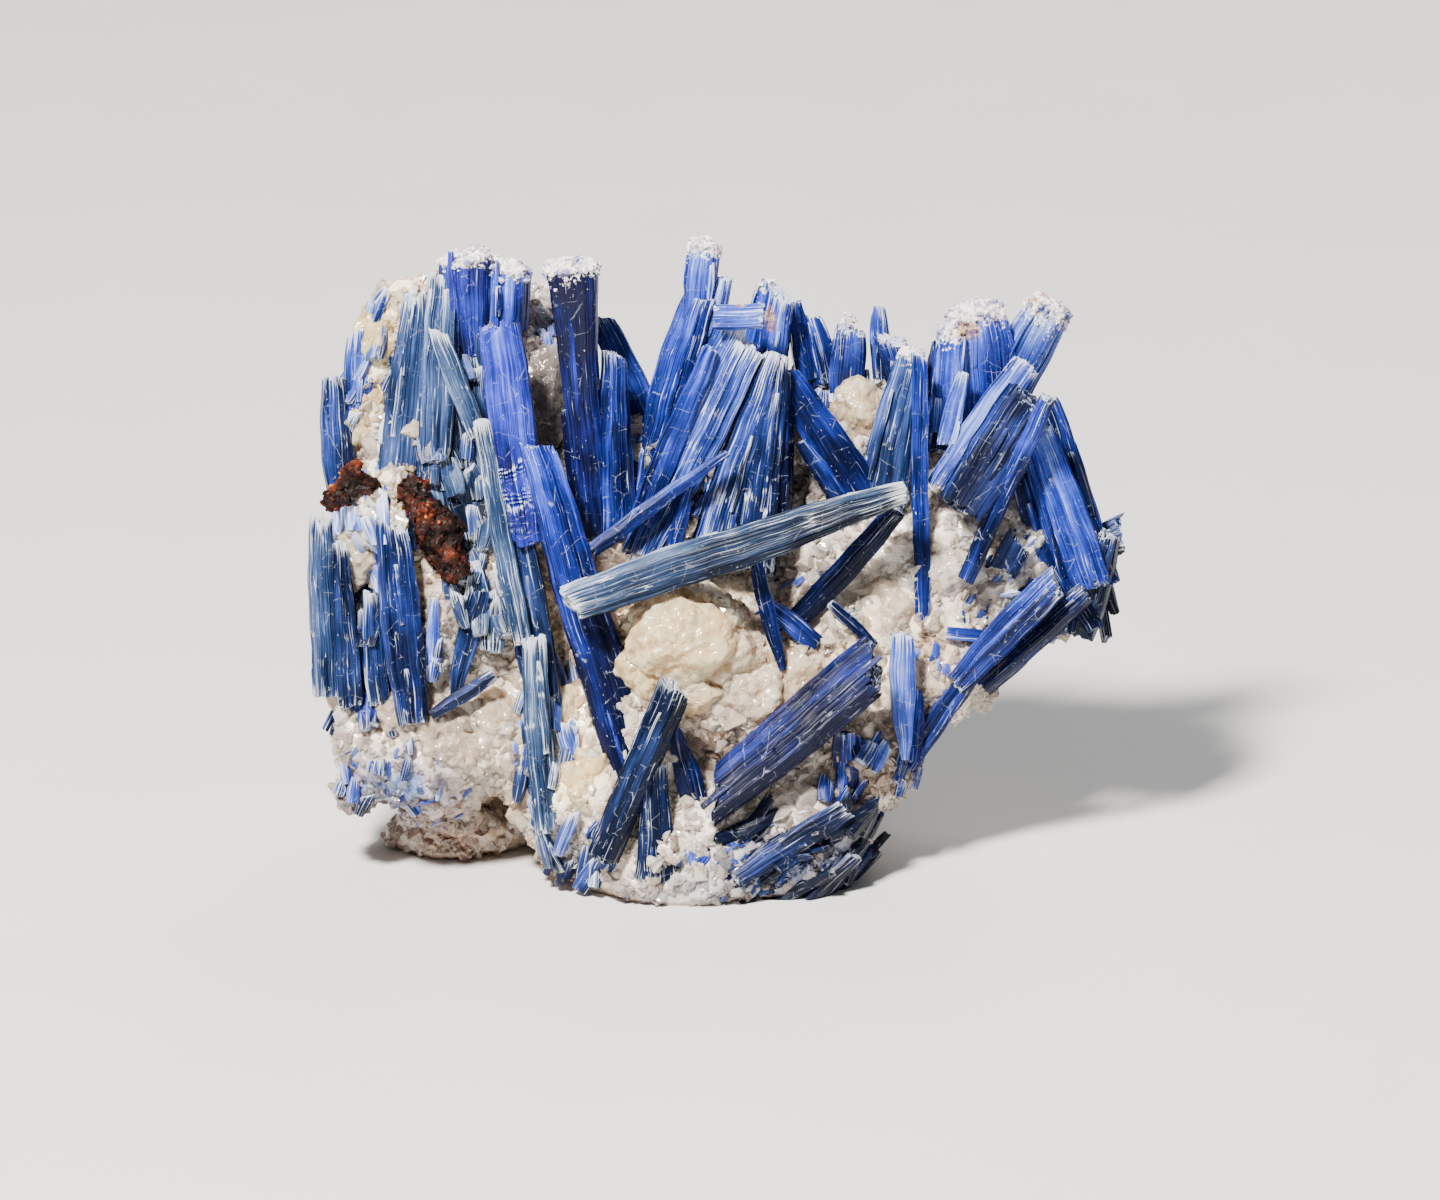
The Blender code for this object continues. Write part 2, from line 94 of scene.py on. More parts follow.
BLADES = {
    "outer_left_blade": (
        Blade((-57, 61, -10), (-58.5, 81, -8), (5, 6, 3.6), 3.4, 20, 0.45, 0.5, 0.5, tip_slant=1.5),
    ),
    "rear_left_blade": (
        Blade((-55.2, 75, -10), (-54.4, 88, -9.5), (3.6, 4, 3), 3.4, 0, 0.5, 0.4, 0.4, tip_slant=-2),
    ),
    "pale_flank_blades": (
        Blade((-49.2, 63, -8), (-45.8, 94, -9), (6.6, 6.2, 3.6), 4, -10, 0.44, 0.85, 0.6, tip_slant=-3),
        Blade((-44.5, 63, -7), (-42.5, 96, -9.5), (4.4, 4.4, 3.6), 4.4, 15, 0.56, 0.85, 0.7, tip_slant=1),
        Blade((-41.8, 67, -6), (-40.5, 93, -8), (3, 3.4, 2.6), 3.4, -20, 0.46, 0.9, 0.6),
    ),
    "slanted_shard": (
        Blade((-36.3, 70, -5), (-42.8, 87.8, -5), (3, 3.8, 2.8), 2.2, 10, 0.5, 1.0, 0.9, tip_slant=2),
    ),
    "left_crown_block": (
        Blade((-37.5, 83, -12), (-38.3, 99.6, -6.5), (6, 7.4, 8.4), 6, 10, 0.5, -0.35, 0.2, ends="rc",
              tip_slant=-1),
        Blade((-32.6, 82, -13.5), (-32, 98, -8), (5.4, 6.4, 6.4), 6, -15, 0.56, -0.1, 0.35, ends="rc",
              tip_slant=1),
    ),
    "violet_blade": (
        Blade((-29, 54, -3.5), (-33.5, 88, -2.5), (5.6, 7.6, 6.4), 4.6, -5, 0.48, -0.5, 0.12),
    ),
    "royal_diagonal_blade": (
        Blade((-12.4, 18, -3), (-28, 71, 0), (7.6, 8.4, 5.6), 4.2, 5, 0.33, -0.05, 0.2, tip_slant=2),
    ),
    "teal_blades": (
        Blade((-29.6, 39, -1.5), (-36, 73.4, -2.5), (3.2, 3.6, 2.8), 2.6, 0, 0.42, 1.0, 0.75),
        Blade((-26, 10.6, -2.5), (-28.2, 41, -1), (4.6, 4.8, 4.2), 3.6, 10, 0.64, 1.0, 0.8),
        Blade((-26.3, 30, -4), (-31.2, 57, -4), (5, 6.6, 5), 3, -10, 0.28, 0.7, 0.3),
    ),
    "pillar_blades": (
        Blade((-19, 55, -14), (-22.8, 97.6, -3), (7.6, 6, 9), 6.4, -10, 0.3, -0.2, 0.2, ends="rc"),
        Blade((-15.6, 55, -12), (-16.2, 84.3, -6), (5.6, 5, 3.2), 4.6, 20, 0.45, 0.1, 0.3, tip_slant=1.5),
    ),
    "pillar_back_blade": (
        Blade((-9.2, 69, -17), (-18.5, 90, -16), (5.6, 5.2, 4), 3, 0, 0.5, 0.2, 0.3, tip_slant=2),
    ),
    "spire_blades": (
        Blade((-10.2, 67, -14), (-2.6, 92.6, -8.5), (6, 7, 5.2), 5, 5, 0.55, 0.1, 0.45),
        Blade((-4.4, 84, -11), (-2.2, 100.8, -6), (5.4, 5.4, 5.2), 4.4, -5, 0.6, 0.1, 0.6, ends="rc"),
        Blade((-2.4, 83, -10.5), (0.9, 94.8, -8), (4, 3.8, 2.4), 3, -10, 0.65, 0.2, 0.5),
    ),
    "fan_blades": (
        Blade((-12.6, 52, -6), (5, 88, -3.6), (5.6, 8.6, 8), 4, -10, 0.6, 0.4, 0.65, tip_slant=3),
        Blade((-12.4, 57, -4), (-1.2, 84.3, -1.6), (4, 4.2, 2.6), 3, 15, 0.5, 0.1, 0.4),
    ),
    "broken_plate": (
        Blade((-1.4, 88.6, -0.6), (7.2, 88.8, -0.4), (4.2, 4.2, 4.2), 1.8, -10, 0.62, 0.2, 0.35),
    ),
    "twin_tip_blades": (
        Blade((6.2, 72, -14.5), (9.5, 94, -8), (4.6, 5.2, 4.4), 4, 0, 0.55, 0.1, 0.5, tip_slant=2.5),
        Blade((4.6, 82, -13), (7, 95, -9.5), (3.4, 3.8, 2.8), 3, 0, 0.6, 0.1, 0.5, ends="rc"),
    ),
    "big_fan_blades": (
        Blade((-2.2, 51, -7), (8.1, 83.6, -4), (6.6, 5.4, 2.6), 4.4, 10, 0.4, 0.4, 0.8),
        Blade((3.8, 50, -7), (9, 83, -5), (8.4, 6, 2.8), 5.2, -5, 0.3, 0.4, 0.7),
        Blade((7.8, 53, -8), (9.8, 80.6, -6), (4.8, 4.2, 2.2), 4.2, -20, 0.25, 0.1, 0.3),
    ),
    "leaning_blades": (
        Blade((22, 60, -10), (9.6, 80.6, -8), (7, 6.4, 3.6), 4.2, 0, 0.34, 0.0, 0.15),
        Blade((20, 58.5, -9.5), (12, 70.3, -7.5), (3.2, 3.2, 1.6), 3, 10, 0.3, 0.1, 0.2),
    ),
    "rear_dark_blades": (
        Blade((16.2, 78, -16), (13, 90.6, -15.5), (4.8, 5.2, 3.6), 3.6, 0, 0.35, 0.1, 0.3, tip_slant=2),
        Blade((13, 79, -15.5), (11, 91.6, -14.5), (3.4, 3.6, 2.6), 3, 0, 0.4, 0.1, 0.3),
    ),
    "stub_blades_left": (
        Blade((18.8, 75, -17), (19.8, 88.2, -12.5), (4.6, 6, 4.4), 4, 15, 0.4, 0.2, 0.35, tip_slant=1.5),
        Blade((19, 80, -16), (19.4, 89.8, -16), (2.6, 3, 2.2), 2.6, 0, 0.5, 0.2, 0.5, ends="rc"),
    ),
    "stub_blades_right": (
        Blade((28.4, 76, -16.5), (25.2, 87, -12), (5.4, 5.6, 4.8), 4, -10, 0.45, 0.2, 0.4, tip_slant=2),
        Blade((24.6, 79, -16), (24, 90.6, -16), (3.4, 3.8, 2.4), 3, 0, 0.45, 0.2, 0.5),
    ),
    "grey_broad_blade": (
        Blade((23.6, 59, -9.5), (29.2, 84.5, -9), (7.4, 6.6, 3.8), 4, -5, 0.45, 0.7, 0.5, ends="rc"),
    ),
    "thin_upright_blade": (
        Blade((30.4, 43, -8), (29.9, 83.6, -4), (2.2, 2.7, 2.4), 2.2, 0, 0.5, 0.1, 0.4, tip_slant=1),
    ),
    "dark_flank_blade": (
        Blade((31.8, 68, -12), (33.6, 85.3, -12), (4, 4.2, 3), 4, 10, 0.2, 0.1, 0.2),
    ),
    "right_crown_block": (
        Blade((40, 70, -17), (38.2, 91.2, -10), (8, 11.6, 7), 7, 5, 0.62, 0.0, 0.5, ends="rc"),
        Blade((33.6, 68, -12.5), (35.2, 88, -9), (3.8, 4.8, 5), 4, -10, 0.66, 0.1, 0.5, ends="rc"),
    ),
    "pale_splinter_right": (
        Blade((34, 69, -7.5), (36.6, 80.6, -7), (3, 3.4, 1.8), 2.8, 0, 0.85, 0.2, 0.6),
    ),
    "far_right_spire": (
        Blade((41, 74, -16), (50.2, 91.6, -11), (7, 8.2, 6.8), 5.6, 0, 0.75, 0.4, 0.8, ends="rc"),
    ),
    "pale_diagonal_blade": (
        Blade((32.6, 62.6, -7), (46.6, 82, -6.5), (4.4, 5.6, 5), 3, -5, 0.62, 0.3, 0.55),
    ),
    "navy_diagonal_blade": (
        Blade((35.4, 59.2, -4), (47.6, 78.2, -3.5), (7, 8, 7.4), 4, 0, 0.2, 0.3, 0.15, tip_slant=2),
    ),
    "thin_diagonal_blade": (
        Blade((36.8, 48.6, -7), (49.4, 76.8, -0.5), (3, 3.5, 3), 2.6, 0, 0.3, 0.15, 0.3),
    ),
    "right_ribs": (
        Blade((55.6, 47, -10.5), (47.2, 72, -9), (7.4, 7.6, 5.6), 5, 0, 0.55, 0.1, 0.35),
        Blade((58.6, 48, -14), (49.6, 76.6, -12), (4.6, 4.8, 3.6), 4, -10, 0.4, 0.2, 0.3),
        Blade((49.6, 50, -11.5), (44.2, 66.2, -10), (2.8, 3, 2.2), 2.6, 10, 0.35, 0.2, 0.3),
    ),
    "east_nub": (
        Blade((55, 53.6, -18), (62.4, 56.6, -17.5), (4, 5.6, 6.4), 2.6, 0, 0.4, 0.6, 0.3, tip_slant=1.5),
    ),
    "right_bend_blade": (
        Blade((53.6, 40.4, -15), (58, 57, -12), (5.6, 7.6, 6), 6, 15, 0.32, 0.6, 0.3),
    ),
    "edge_blades": (
        Blade((35, 33, -6.5), (51.6, 50.4, -5), (3.6, 5.4, 4.6), 3.6, 10, 0.5, 0.15, 0.4, tip_slant=2),
        Blade((39, 33, -10), (55.4, 47.6, -8.5), (3.6, 4.2, 3.4), 4, -15, 0.3, 0.2, 0.25),
        Blade((27.6, 20.4, -11), (41, 40, -6.5), (3, 4, 3.2), 3.6, 20, 0.45, 0.2, 0.35),
    ),
    "hanging_fan": (
        Blade((27.8, 21.8, -5.5), (27.4, 41.6, -3), (1.2, 4.2, 3.4), 2.6, 0, 0.66, 0.3, 0.5),
        Blade((29, 21.4, -8), (29.8, 33, -7), (2, 2.8, 1.6), 2.4, 10, 0.5, 0.2, 0.4),
    ),
    "foreground_block": (
        Blade((-3.8, 13.5, 1), (25.6, 38.1, 3), (7.4, 9.6, 9.6), 6.4, -12, 0.15, 0.05, 0.15,
              foot_slant=-7, tip_slant=4),
    ),
    "under_fans": (
        Blade((18.4, 14.6, -7), (18.9, 26.6, -3), (5.6, 5, 4), 3, 10, 0.3, 0.1, 0.3),
    ),
    "crossed_stub_blades": (
        Blade((-18, 6.6, 1), (-6.3, 34.4, 5), (4.6, 5.2, 5.4), 4, -15, 0.2, 0.65, 0.35, tip_slant=1.5),
        Blade((-9.4, 3.2, 0.4), (-9.8, 21.6, 2), (8, 5.2, 4), 3, 10, 0.3, 0.6, 0.45),
    ),
    "blue_wedge_blade": (
        Blade((-3.8, 15, -3), (-6.8, 27, -0.5), (4.2, 3.8, 1.4), 2.4, 10, 0.35, 0.1, 0.2),
    ),
    "crossing_blade": (
        Blade((-23.9, 45.2, 5.8), (28.3, 62.6, 3.4), (5.2, 6.2, 3.2), 4.4, 8, 0.24, 1.0, 0.95,
              foot_slant=1.5),
    ),
    "lance_blade": (
        Blade((-19.6, 53.4, -1.8), (1.3, 68.4, 0), (2.6, 2.7, 1.3), 1.8, 0, 0.5, 0.2, 0.35),
    ),
    "sprout_blade": (
        Blade((-7.4, 51.6, -5), (-4.4, 63, -2.5), (2, 2.7, 1), 1.7, 0, 0.4, 0.1, 0.3),
    ),
    "rod_blade": (
        Blade((10.6, 42, -7), (27, 60, -2.5), (3.6, 4.3, 3.4), 3.4, 0, 0.25, 0.2, 0.25),
    ),
    "drop_blade": (
        Blade((9.5, 35.4, -1.2), (5, 52.4, -1), (1.2, 2.7, 2), 1.8, 0, 0.35, 0.1, 0.3),
    ),
    "side_plate": (
        Blade((14.8, 39, -6), (7.6, 45.4, -4.4), (3.4, 3.5, 2.6), 1.7, 0, 0.35, 0.15, 0.3),
    ),
    "sprig_blade": (
        Blade((23.4, 39, -6), (16.4, 45.8, -4.4), (1.4, 2, 1.6), 1.5, 0, 0.4, 0.2, 0.4),
    ),
    "tab_blade": (
        Blade((40.4, 40.6, -7), (33.8, 41.4, -5.6), (2, 2.1, 2), 1.5, 0, 0.5, 0.2, 0.4),
    ),
    "rhomb_plate": (
        Blade((42.3, 50, -8.5), (45.7, 56.6, -7.2), (4.6, 4.7, 4.4), 2, 0, 0.3, 0.5, 0.2, tip_slant=2),
    ),
    "lower_left_rim_blade": (
        Blade((-59.4, 31, -9), (-60.2, 59.6, -7), (4.2, 4.6, 3.6), 5, 15, 0.52, 0.9, 0.7),
    ),
    "lower_left_blades": (
        Blade((-55.4, 29.6, -5.5), (-57, 55.4, -4), (4.6, 4.2, 2.6), 3.4, -10, 0.35, 0.6, 0.6),
        Blade((-51.2, 30, -4.6), (-52.8, 48, -3), (3.6, 3.6, 2), 3.4, 15, 0.35, 0.6, 0.6),
        Blade((-46, 26.8, -3), (-49.6, 59.6, -1), (5.4, 7.2, 5), 4.2, -5, 0.32, 0.35, 0.5),
    ),
    "pale_splinter_left": (
        Blade((-43.2, 33.6, -3.4), (-42.9, 46.4, -2), (1.6, 2.5, 1.6), 1.7, 0, 0.85, 0.3, 0.6),
    ),
    "dark_shard_left": (
        Blade((-40, 31, -4.4), (-36, 48.2, -2.6), (1.4, 3.9, 3.4), 2.2, 0, 0.4, 0.6, 0.3),
    ),
    "low_cross_blade": (
        Blade((-43.6, 28.8, -2.6), (-33.6, 35, -1.4), (1.6, 2.6, 2), 1.8, 0, 0.35, 0.4, 0.4),
    ),
    "bottom_edge_blade": (
        Blade((2, 4.2, 1.2), (19.4, 15, -2), (3, 4.6, 3.4), 3.8, 15, 0.32, 0.5, 0.5),
    ),
    "back_blade_low": (
        Blade((-26, 20, -52.5), (12, 34, -50), (6, 7.4, 5), 4.4, 180, 0.35, 0.2, 0.4),
    ),
    "back_blade_high": (
        Blade((18, 46, -42), (-18, 64, -35), (7, 7.6, 5.6), 4.6, 170, 0.4, 0.2, 0.4),
    ),
    "back_blade_left": (
        Blade((-42, 32, -34), (-47, 74, -26), (6.4, 7, 5), 4.4, 195, 0.5, 0.3, 0.5),
    ),
    "back_blade_right": (
        Blade((22, 36, -44), (38, 64, -36), (6, 6.6, 5), 4, 165, 0.35, 0.2, 0.4),
    ),
}

STOUT = 3.9  # mm, from which thickness a blade has more corners
CORNERS_STOUT, CORNERS_THIN = 8, 6
RIDGE = 0.13  # how far a corner strays from a blade's even section
STEP_ROUND, STEP_ALONG = 0.17, 0.6  # mm between points round a blade and along it
CAP_RINGS = (0.1, 0.24, 0.4, 0.56, 0.72, 0.88)  # rings that close a blade's end, as shares of its section
RELIEF = 0.42  # mm, how deep a stout, worn blade is grooved
GROOVES = (0.36, 0.46, 0.62, 0.95)  # mm between the grooves of each set of fine grooves
FOOT_BREAK, TIP_BREAK = 0.35, 0.45  # how ragged a broken foot and tip are, as shares of the width there
RAGGED = {  # tips that are more ragged than that, and how many times
    "lower_left_blades": 2.6,
    "lower_left_rim_blade": 2.2,
    "pale_flank_blades": 1.6,
    "outer_left_blade": 1.5,
}
FOLDS = {"violet_blade": (1.0, 13.5, 1.0)}  # a blade folded across: from, to and pitch along it, in mm
FOLD_STEP = 0.3  # how much closer the points along a folded blade stand

SLOPE = 0.16  # how much paler a blade is at its tip than at its foot
# royal_diagonal_blade darkens towards its foot partly in its own navy colour and partly as the painted shadow
# of the crossing blade above it.
SLOPES = {"royal_diagonal_blade": 0.7, "crossing_blade": -0.4, "foreground_block": 0.1,
          "pillar_blades": -0.25}
PAINTED_SIDE_LIGHT = 0.12  # painted light: how much paler a blade's sides are where they face UPPER_LEFT, and darker where they face away
# Painted light for each node: how much paler its sides that face UPPER_LEFT are
PAINTED_SIDE_LIGHTS = {"crossing_blade": 0.4, "foreground_block": 0.1, "big_fan_blades": 0.2, "royal_diagonal_blade": 0.05,
        "pillar_blades": -0.14}
UPPER_LEFT = np.array((-0.42, 0.78, 0.46))  # where the painted light comes from: across, up and proud

CRUST = 1.1  # mm, how far down a blade its crust fades
CRUSTS = {"left_crown_block": 0.8, "right_crown_block": 1.7, "far_right_spire": 2.0}
BEADS = 16  # beads of crust to each mm of a blade's width
BEADS_TO_MM = {"left_crown_block": 10, "spire_blades": 7, "twin_tip_blades": 6, "grey_broad_blade": 6,
               "stub_blades_left": 6, "right_crown_block": 12}
BEAD_SIZES = (0.32, 0.85)  # mm

LATHS, LATHS_ON = 3, 7  # how many thin laths lie on a blade of how many mm in width
THIN = 2.5  # mm; a blade no thicker than that has no laths
LATH_SHORTEST = 0.25  # as a share of its blade's length
LATH_WIDTHS, LATH_DEEP = (0.7, 1.7), (0.7, 1.1)  # mm

PLATE_COARSE, PLATE_CAPS = 1.6, (0.3, 0.7)  # how much further apart its points are, and its end's rings
PLATE_DEEP = (1.2, 2.0)  # mm
PLATE_SEED = 1000

QUARTZ_VOXEL, QUARTZ_SMOOTHING = 0.62, 6
RUST_VOXEL, RUST_SMOOTHING = 0.45, 2  # mm between points of the rock and of the rust, and steps of smoothing
MOSAIC = 780.0  # grains to the metre in the quartz's fine mosaic
BOULDER_STEP = 0.44  # mm between points on a boulder
BLOCK_FACES, SHARP = 18, 40  # how many flat faces a boulder has, and how sharp its edges are
BOULDER_DEEP = 0.8  # how deep a boulder is, as a share of its smaller half size

GRAINS = {  # how many, their size in mm, how far it varies, and how deep they sit, as a share of it
    "quartz_lumps": (1300, 1.7, 0.4, 0.5),
    "quartz_sugar": (4200, 0.95, 0.35, 0.2),
    "quartz_beads": (2000, 0.9, 0.4, 0.0),
    "quartz_grains": (2400, 0.6, 0.4, 0.15),
}
CRUMBS = 11  # faces of the rust to each crumb on it
CRUMB_SIZES = (0.22, 0.62)  # mm

# Zones on the display face: (across, up), (half width, half height), strength.
BROWN = (
    ((-41, 10), (12, 4), 1.0),
    ((23, 20), (6, 5), 0.8),
    ((32, 38), (2.5, 7), 0.9),
    ((-1, 25), (3.0, 2.8), 0.9),
    ((-55.5, 18), (2, 3), 0.9),
    ((-47, 66), (3, 2.5), 0.5),
    ((-38, 58), (4, 4), 0.4),
)
OCHRE = (  # iron stains on the blades
    ((2.9, 90.8), (1.1, 1.0), 0.9),
    ((7.6, 88.6), (0.9, 2.4), 0.8),
    ((37.2, 86.6), (2.4, 2.0), 0.7),
    ((47.4, 91.2), (0.8, 0.7), 0.8),
    ((49.0, 92.4), (0.7, 0.7), 0.8),
    ((-56.5, 58.0), (2.4, 1.8), 0.6),
)
SMOKE = (
    ((-40.5, 40), (5, 10), 0.7),
    ((-26, 75), (6, 15), 0.95),
    ((14, 64), (8, 9), 0.95),
    ((0, 68), (8, 8), 0.9),
    ((-15, 64), (6, 8), 0.6),
    ((14, 51), (7, 6), 0.3),
    ((-38, 28), (8, 4), 0.4),
    ((12, 80), (5, 6), 0.5),
    # Painted shade: the quartz at the bottom right is made smoky and dark where shade falls.
    ((16, 7), (11, 6), 0.8),
    ((50, 40), (7, 8), 0.4),
)
BLUE = (
    ((-48, 18), (8, 5), 1.0),
    ((12, 6), (12, 6), 0.8),
    ((-24, 9), (5, 5), 0.6),
    ((-5, 3), (12, 3), 0.4),
    ((-38, 76), (6, 12), 0.4),
    ((-56, 45), (4, 14), 0.5),
    ((-27, 88), (2.2, 4), 0.5),
)
WARM = (
    ((-6, 41), (11, 9), 1.0),
    ((-24, 18), (7, 15), 1.0),
    ((-50, 87), (6, 8), 1.0),
    ((-54, 76), (4, 5), 0.7),
    ((-50, 52), (6, 10), 0.9),
    ((10, 34), (12, 8), 0.6),
    ((-40, 64), (8, 16), 0.7),
    ((-38, 24), (12, 8), 0.4),
    ((24, 38), (12, 9), 0.5),
    ((22, 80), (6, 5), 0.4),
)
# Painted light: zones where the quartz is made lighter, as pools of light painted on it.
PAINTED_LIGHT_ON_QUARTZ = (
    ((-6, 40), (10, 9), 1.0),
    ((30, 46), (13, 11), 1.0),
    ((43, 54), (8, 10), 1.0),
    ((30, 60), (8, 8), 0.8),
    ((-20, 17), (9, 9), 1.0),
    ((22, 75), (6, 5), 0.8),
    ((-51, 84), (6, 8), 0.9),
    ((-54, 54), (5, 8), 1.0),
    ((10, 16), (12, 6), 0.3),
    ((30, 36), (8, 8), 0.8),
)
SMOOTH = (  # where the quartz is massive, with few grains
    ((-5.5, 40), (10, 8), 1.0),
    ((5, 33), (9, 7), 0.8),
    ((-20, 19), (7, 7), 0.6),
    ((-39, 24), (8, 6), 0.8),
    ((26, 45), (7, 7), 0.6),
    ((-26, 77), (3, 10), 0.8),
)

# Boulders of glassy quartz on the display face: (across, up), (half width, half height), how deep the middle
# is sunk as a share of the boulder's depth, warmth, brightness, which is partly painted light, and how rugged
# it is.
BOULDERS = (
    ((-6.5, 40.5), (8, 7), 0.5, 0.8, 1.0, 1.0),
    ((-11.5, 35.5), (5, 4.5), 0.7, 1.0, 0.9, 1.0),
    ((1.5, 37), (5, 5), 0.7, 0.5, 0.7, 1.0),
    ((-4.5, 32.5), (5.5, 4), 0.7, 0.7, 0.8, 1.0),
    ((4.5, 32), (5.5, 5), 0.65, 0.3, 0.6, 1.0),
    ((10, 33.5), (4.5, 4.5), 0.7, 0.5, 0.7, 1.0),
    ((-39, 24.5), (8.5, 6), 0.75, 0.3, 0.5, 1.0),
    ((-47.5, 28), (5, 4.5), 0.75, 0.3, 0.5, 1.0),
    ((-33.5, 29), (4.5, 4), 0.75, 0.5, 0.7, 1.0),
    ((-56, 33), (3.4, 5), 0.75, 0.6, 0.7, 1.0),
    ((25.5, 45.5), (6, 5.5), 0.8, 0.2, 0.9, 1.0),
    ((32.5, 51), (5, 5), 0.8, 0.1, 0.9, 1.0),
    ((21.5, 74.5), (5, 5), 0.75, 0.6, 0.7, 1.0),
    ((-51, 86), (4.4, 5), 0.8, 1.0, 0.9, 1.0),
    ((-54, 74), (3.4, 5), 0.8, 0.9, 0.9, 1.0),
    ((-26.2, 78), (3.8, 9.5), 0.35, 0.0, 0.3, 0.35),
    ((-54.2, 53), (3.2, 6), 0.6, 1.0, 1.0, 1.0),
    ((-20.5, 18), (5.5, 6), 0.85, 1.0, 1.0, 1.0),
    ((-24, 27), (3.6, 6), 0.85, 0.8, 0.8, 1.0),
    ((44, 54), (3.6, 4), 0.8, 0.1, 0.7, 1.0),
    ((0, 62), (4, 4), 0.7, 0.1, 0.5, 1.0),
)


def at(place):
    """A place in the room, in mm: the face's foot + across * right + up * upward + proud * outward."""
    across, up, proud = place
    return FACE_FOOT + across * FACE_ACROSS + up * FACE_UP + proud * FACE_PROUD


def on_face(points):
    """The opposite: how far points lie across, up and proud of the display face."""
    away = points - FACE_FOOT
    return np.stack((away @ FACE_ACROSS, away @ FACE_UP, away @ FACE_PROUD), axis=-1)


def unit(vectors):
    """Vectors divided by their own lengths."""
    return vectors / np.linalg.norm(vectors, axis=-1, keepdims=True)


def keep_in_box(points, spare=0.05):
    """Holds points inside the solids' bounding box, spare mm from its walls and top."""
    return np.clip(points, BOX_LOW + (spare, spare, 0), BOX_HIGH - spare)


def scramble(*numbers):
    """A fixed number from 0 to 1 for each set of numbers: the fraction of a steep sine of their mix."""
    mixed = sum(n * k for n, k in zip(numbers, (12.9898, 78.233, 37.719, 53.17, 91.71)))
    steep = np.sin(mixed) * 43758.5453
    return steep - np.floor(steep)


def turned(a, b, c):
    """Rotation matrices from three arrays of numbers between 0 and 1, evenly spread over all turns."""
    u, v, w = a, 2 * np.pi * b, 2 * np.pi * c
    x, y = np.sqrt(1 - u) * np.sin(v), np.sqrt(1 - u) * np.cos(v)
    z, s = np.sqrt(u) * np.sin(w), np.sqrt(u) * np.cos(w)
    rows = ((1 - 2 * (y * y + z * z), 2 * (x * y - z * s), 2 * (x * z + y * s)),
            (2 * (x * y + z * s), 1 - 2 * (x * x + z * z), 2 * (y * z - x * s)),
            (2 * (x * z - y * s), 2 * (y * z + x * s), 1 - 2 * (x * x + y * y)))
    return np.stack([np.stack(row, axis=-1) for row in rows], axis=-2)


def strength(points, zones, front=1.0):
    """How strongly zones colour each point: the largest of strength * exp(-(dx / w)^2 - (dy / h)^2)."""
    place = on_face(points)
    total = np.zeros(len(points))
    for (across, up), (half_width, half_height), most in zones:
        far = ((place[:, 0] - across) / half_width) ** 2 + ((place[:, 1] - up) / half_height) ** 2
        total = np.maximum(total, most * np.exp(-far))
    return total * front


def in_field(points, middle, half):
    """1 for each point whose place on the display face is inside a box round a middle, otherwise 0."""
    place = on_face(points)
    return ((abs(place[:, 0] - middle[0]) < half[0]) & (abs(place[:, 1] - middle[1]) < half[1])) * 1.0


# Meshes


def new_mesh(name, points, faces, attributes, smooth=False):
    """A mesh object from arrays: points in mm, faces as rows of three or four, attributes per point."""
    mesh = bpy.data.meshes.new(name)
    corners = np.concatenate([f.ravel() for f in faces])
    sizes = np.concatenate([np.full(len(f), f.shape[1]) for f in faces])
    mesh.vertices.add(len(points))
    lifted = np.concatenate((points[:, :2], np.maximum(points[:, 2:], 0)), axis=1)  # cut flat at the base
    mesh.vertices.foreach_set("co", (lifted * MM).ravel())
    mesh.loops.add(len(corners))
    mesh.loops.foreach_set("vertex_index", corners)
    mesh.polygons.add(len(sizes))
    mesh.polygons.foreach_set("loop_start", np.concatenate(([0], np.cumsum(sizes)[:-1])))
    mesh.update(calc_edges=True)
    mesh.validate()
    mesh.polygons.foreach_set("use_smooth", np.full(len(mesh.polygons), smooth))
    for key, values in attributes.items():
        kind, field = ("FLOAT", "value") if values.ndim == 1 else ("FLOAT_VECTOR", "vector")
        layer = mesh.attributes.new(key, kind, "POINT")
        layer.data.foreach_set(field, values.astype(np.float32).ravel())
    made = bpy.data.objects.new(name, mesh)
    bpy.context.scene.collection.objects.link(made)
    return made


class Heap:
    """Points, faces and attributes of many small shapes, gathered into one piece."""

    def __init__(self):
        self.points, self.triangles, self.quads, self.attributes = [], [], [], {}
        self.count = 0

    def add(self, points, triangles=None, quads=None, **attributes):
        """Adds a shape, or many alike: faces count from the shape's own first point."""
        if triangles is not None:
            self.triangles.append(triangles + self.count)
        if quads is not None:
            self.quads.append(quads + self.count)
        self.points.append(points)
        self.count += len(points)
        for key, values in attributes.items():
            self.attributes.setdefault(key, []).append(values)

    def piece(self, name):
        """The mesh object of all that was added, with flat faces."""
        faces = [np.concatenate(part) for part in (self.triangles, self.quads) if part]
        joined = {key: np.concatenate(values) for key, values in self.attributes.items()}
        return new_mesh(name, keep_in_box(np.concatenate(self.points), 0.01), faces, joined)


def tube_faces(rings, around):
    """Faces of rings of points that follow each other, closed at the seam and at the two ends.

    Quads join each ring to the next. Fans join the first and the last ring to poles, the two points that
    come after all the rings.
    """
    ring, corner = np.meshgrid(np.arange(rings - 1), np.arange(around), indexing="ij")
    here, after = ring * around, (corner + 1) % around
    quads = np.stack((here + corner, here + after, here + around + after, here + around + corner), axis=-1)
    corner = np.arange(around)
    after = (corner + 1) % around
    last = (rings - 1) * around
    first_pole, last_pole = np.full(around, rings * around), np.full(around, rings * around + 1)
    fans = np.concatenate((np.stack((after, corner, first_pole), axis=-1),
                           np.stack((last + corner, last + after, last_pole), axis=-1)))
    return quads.reshape(-1, 4), fans


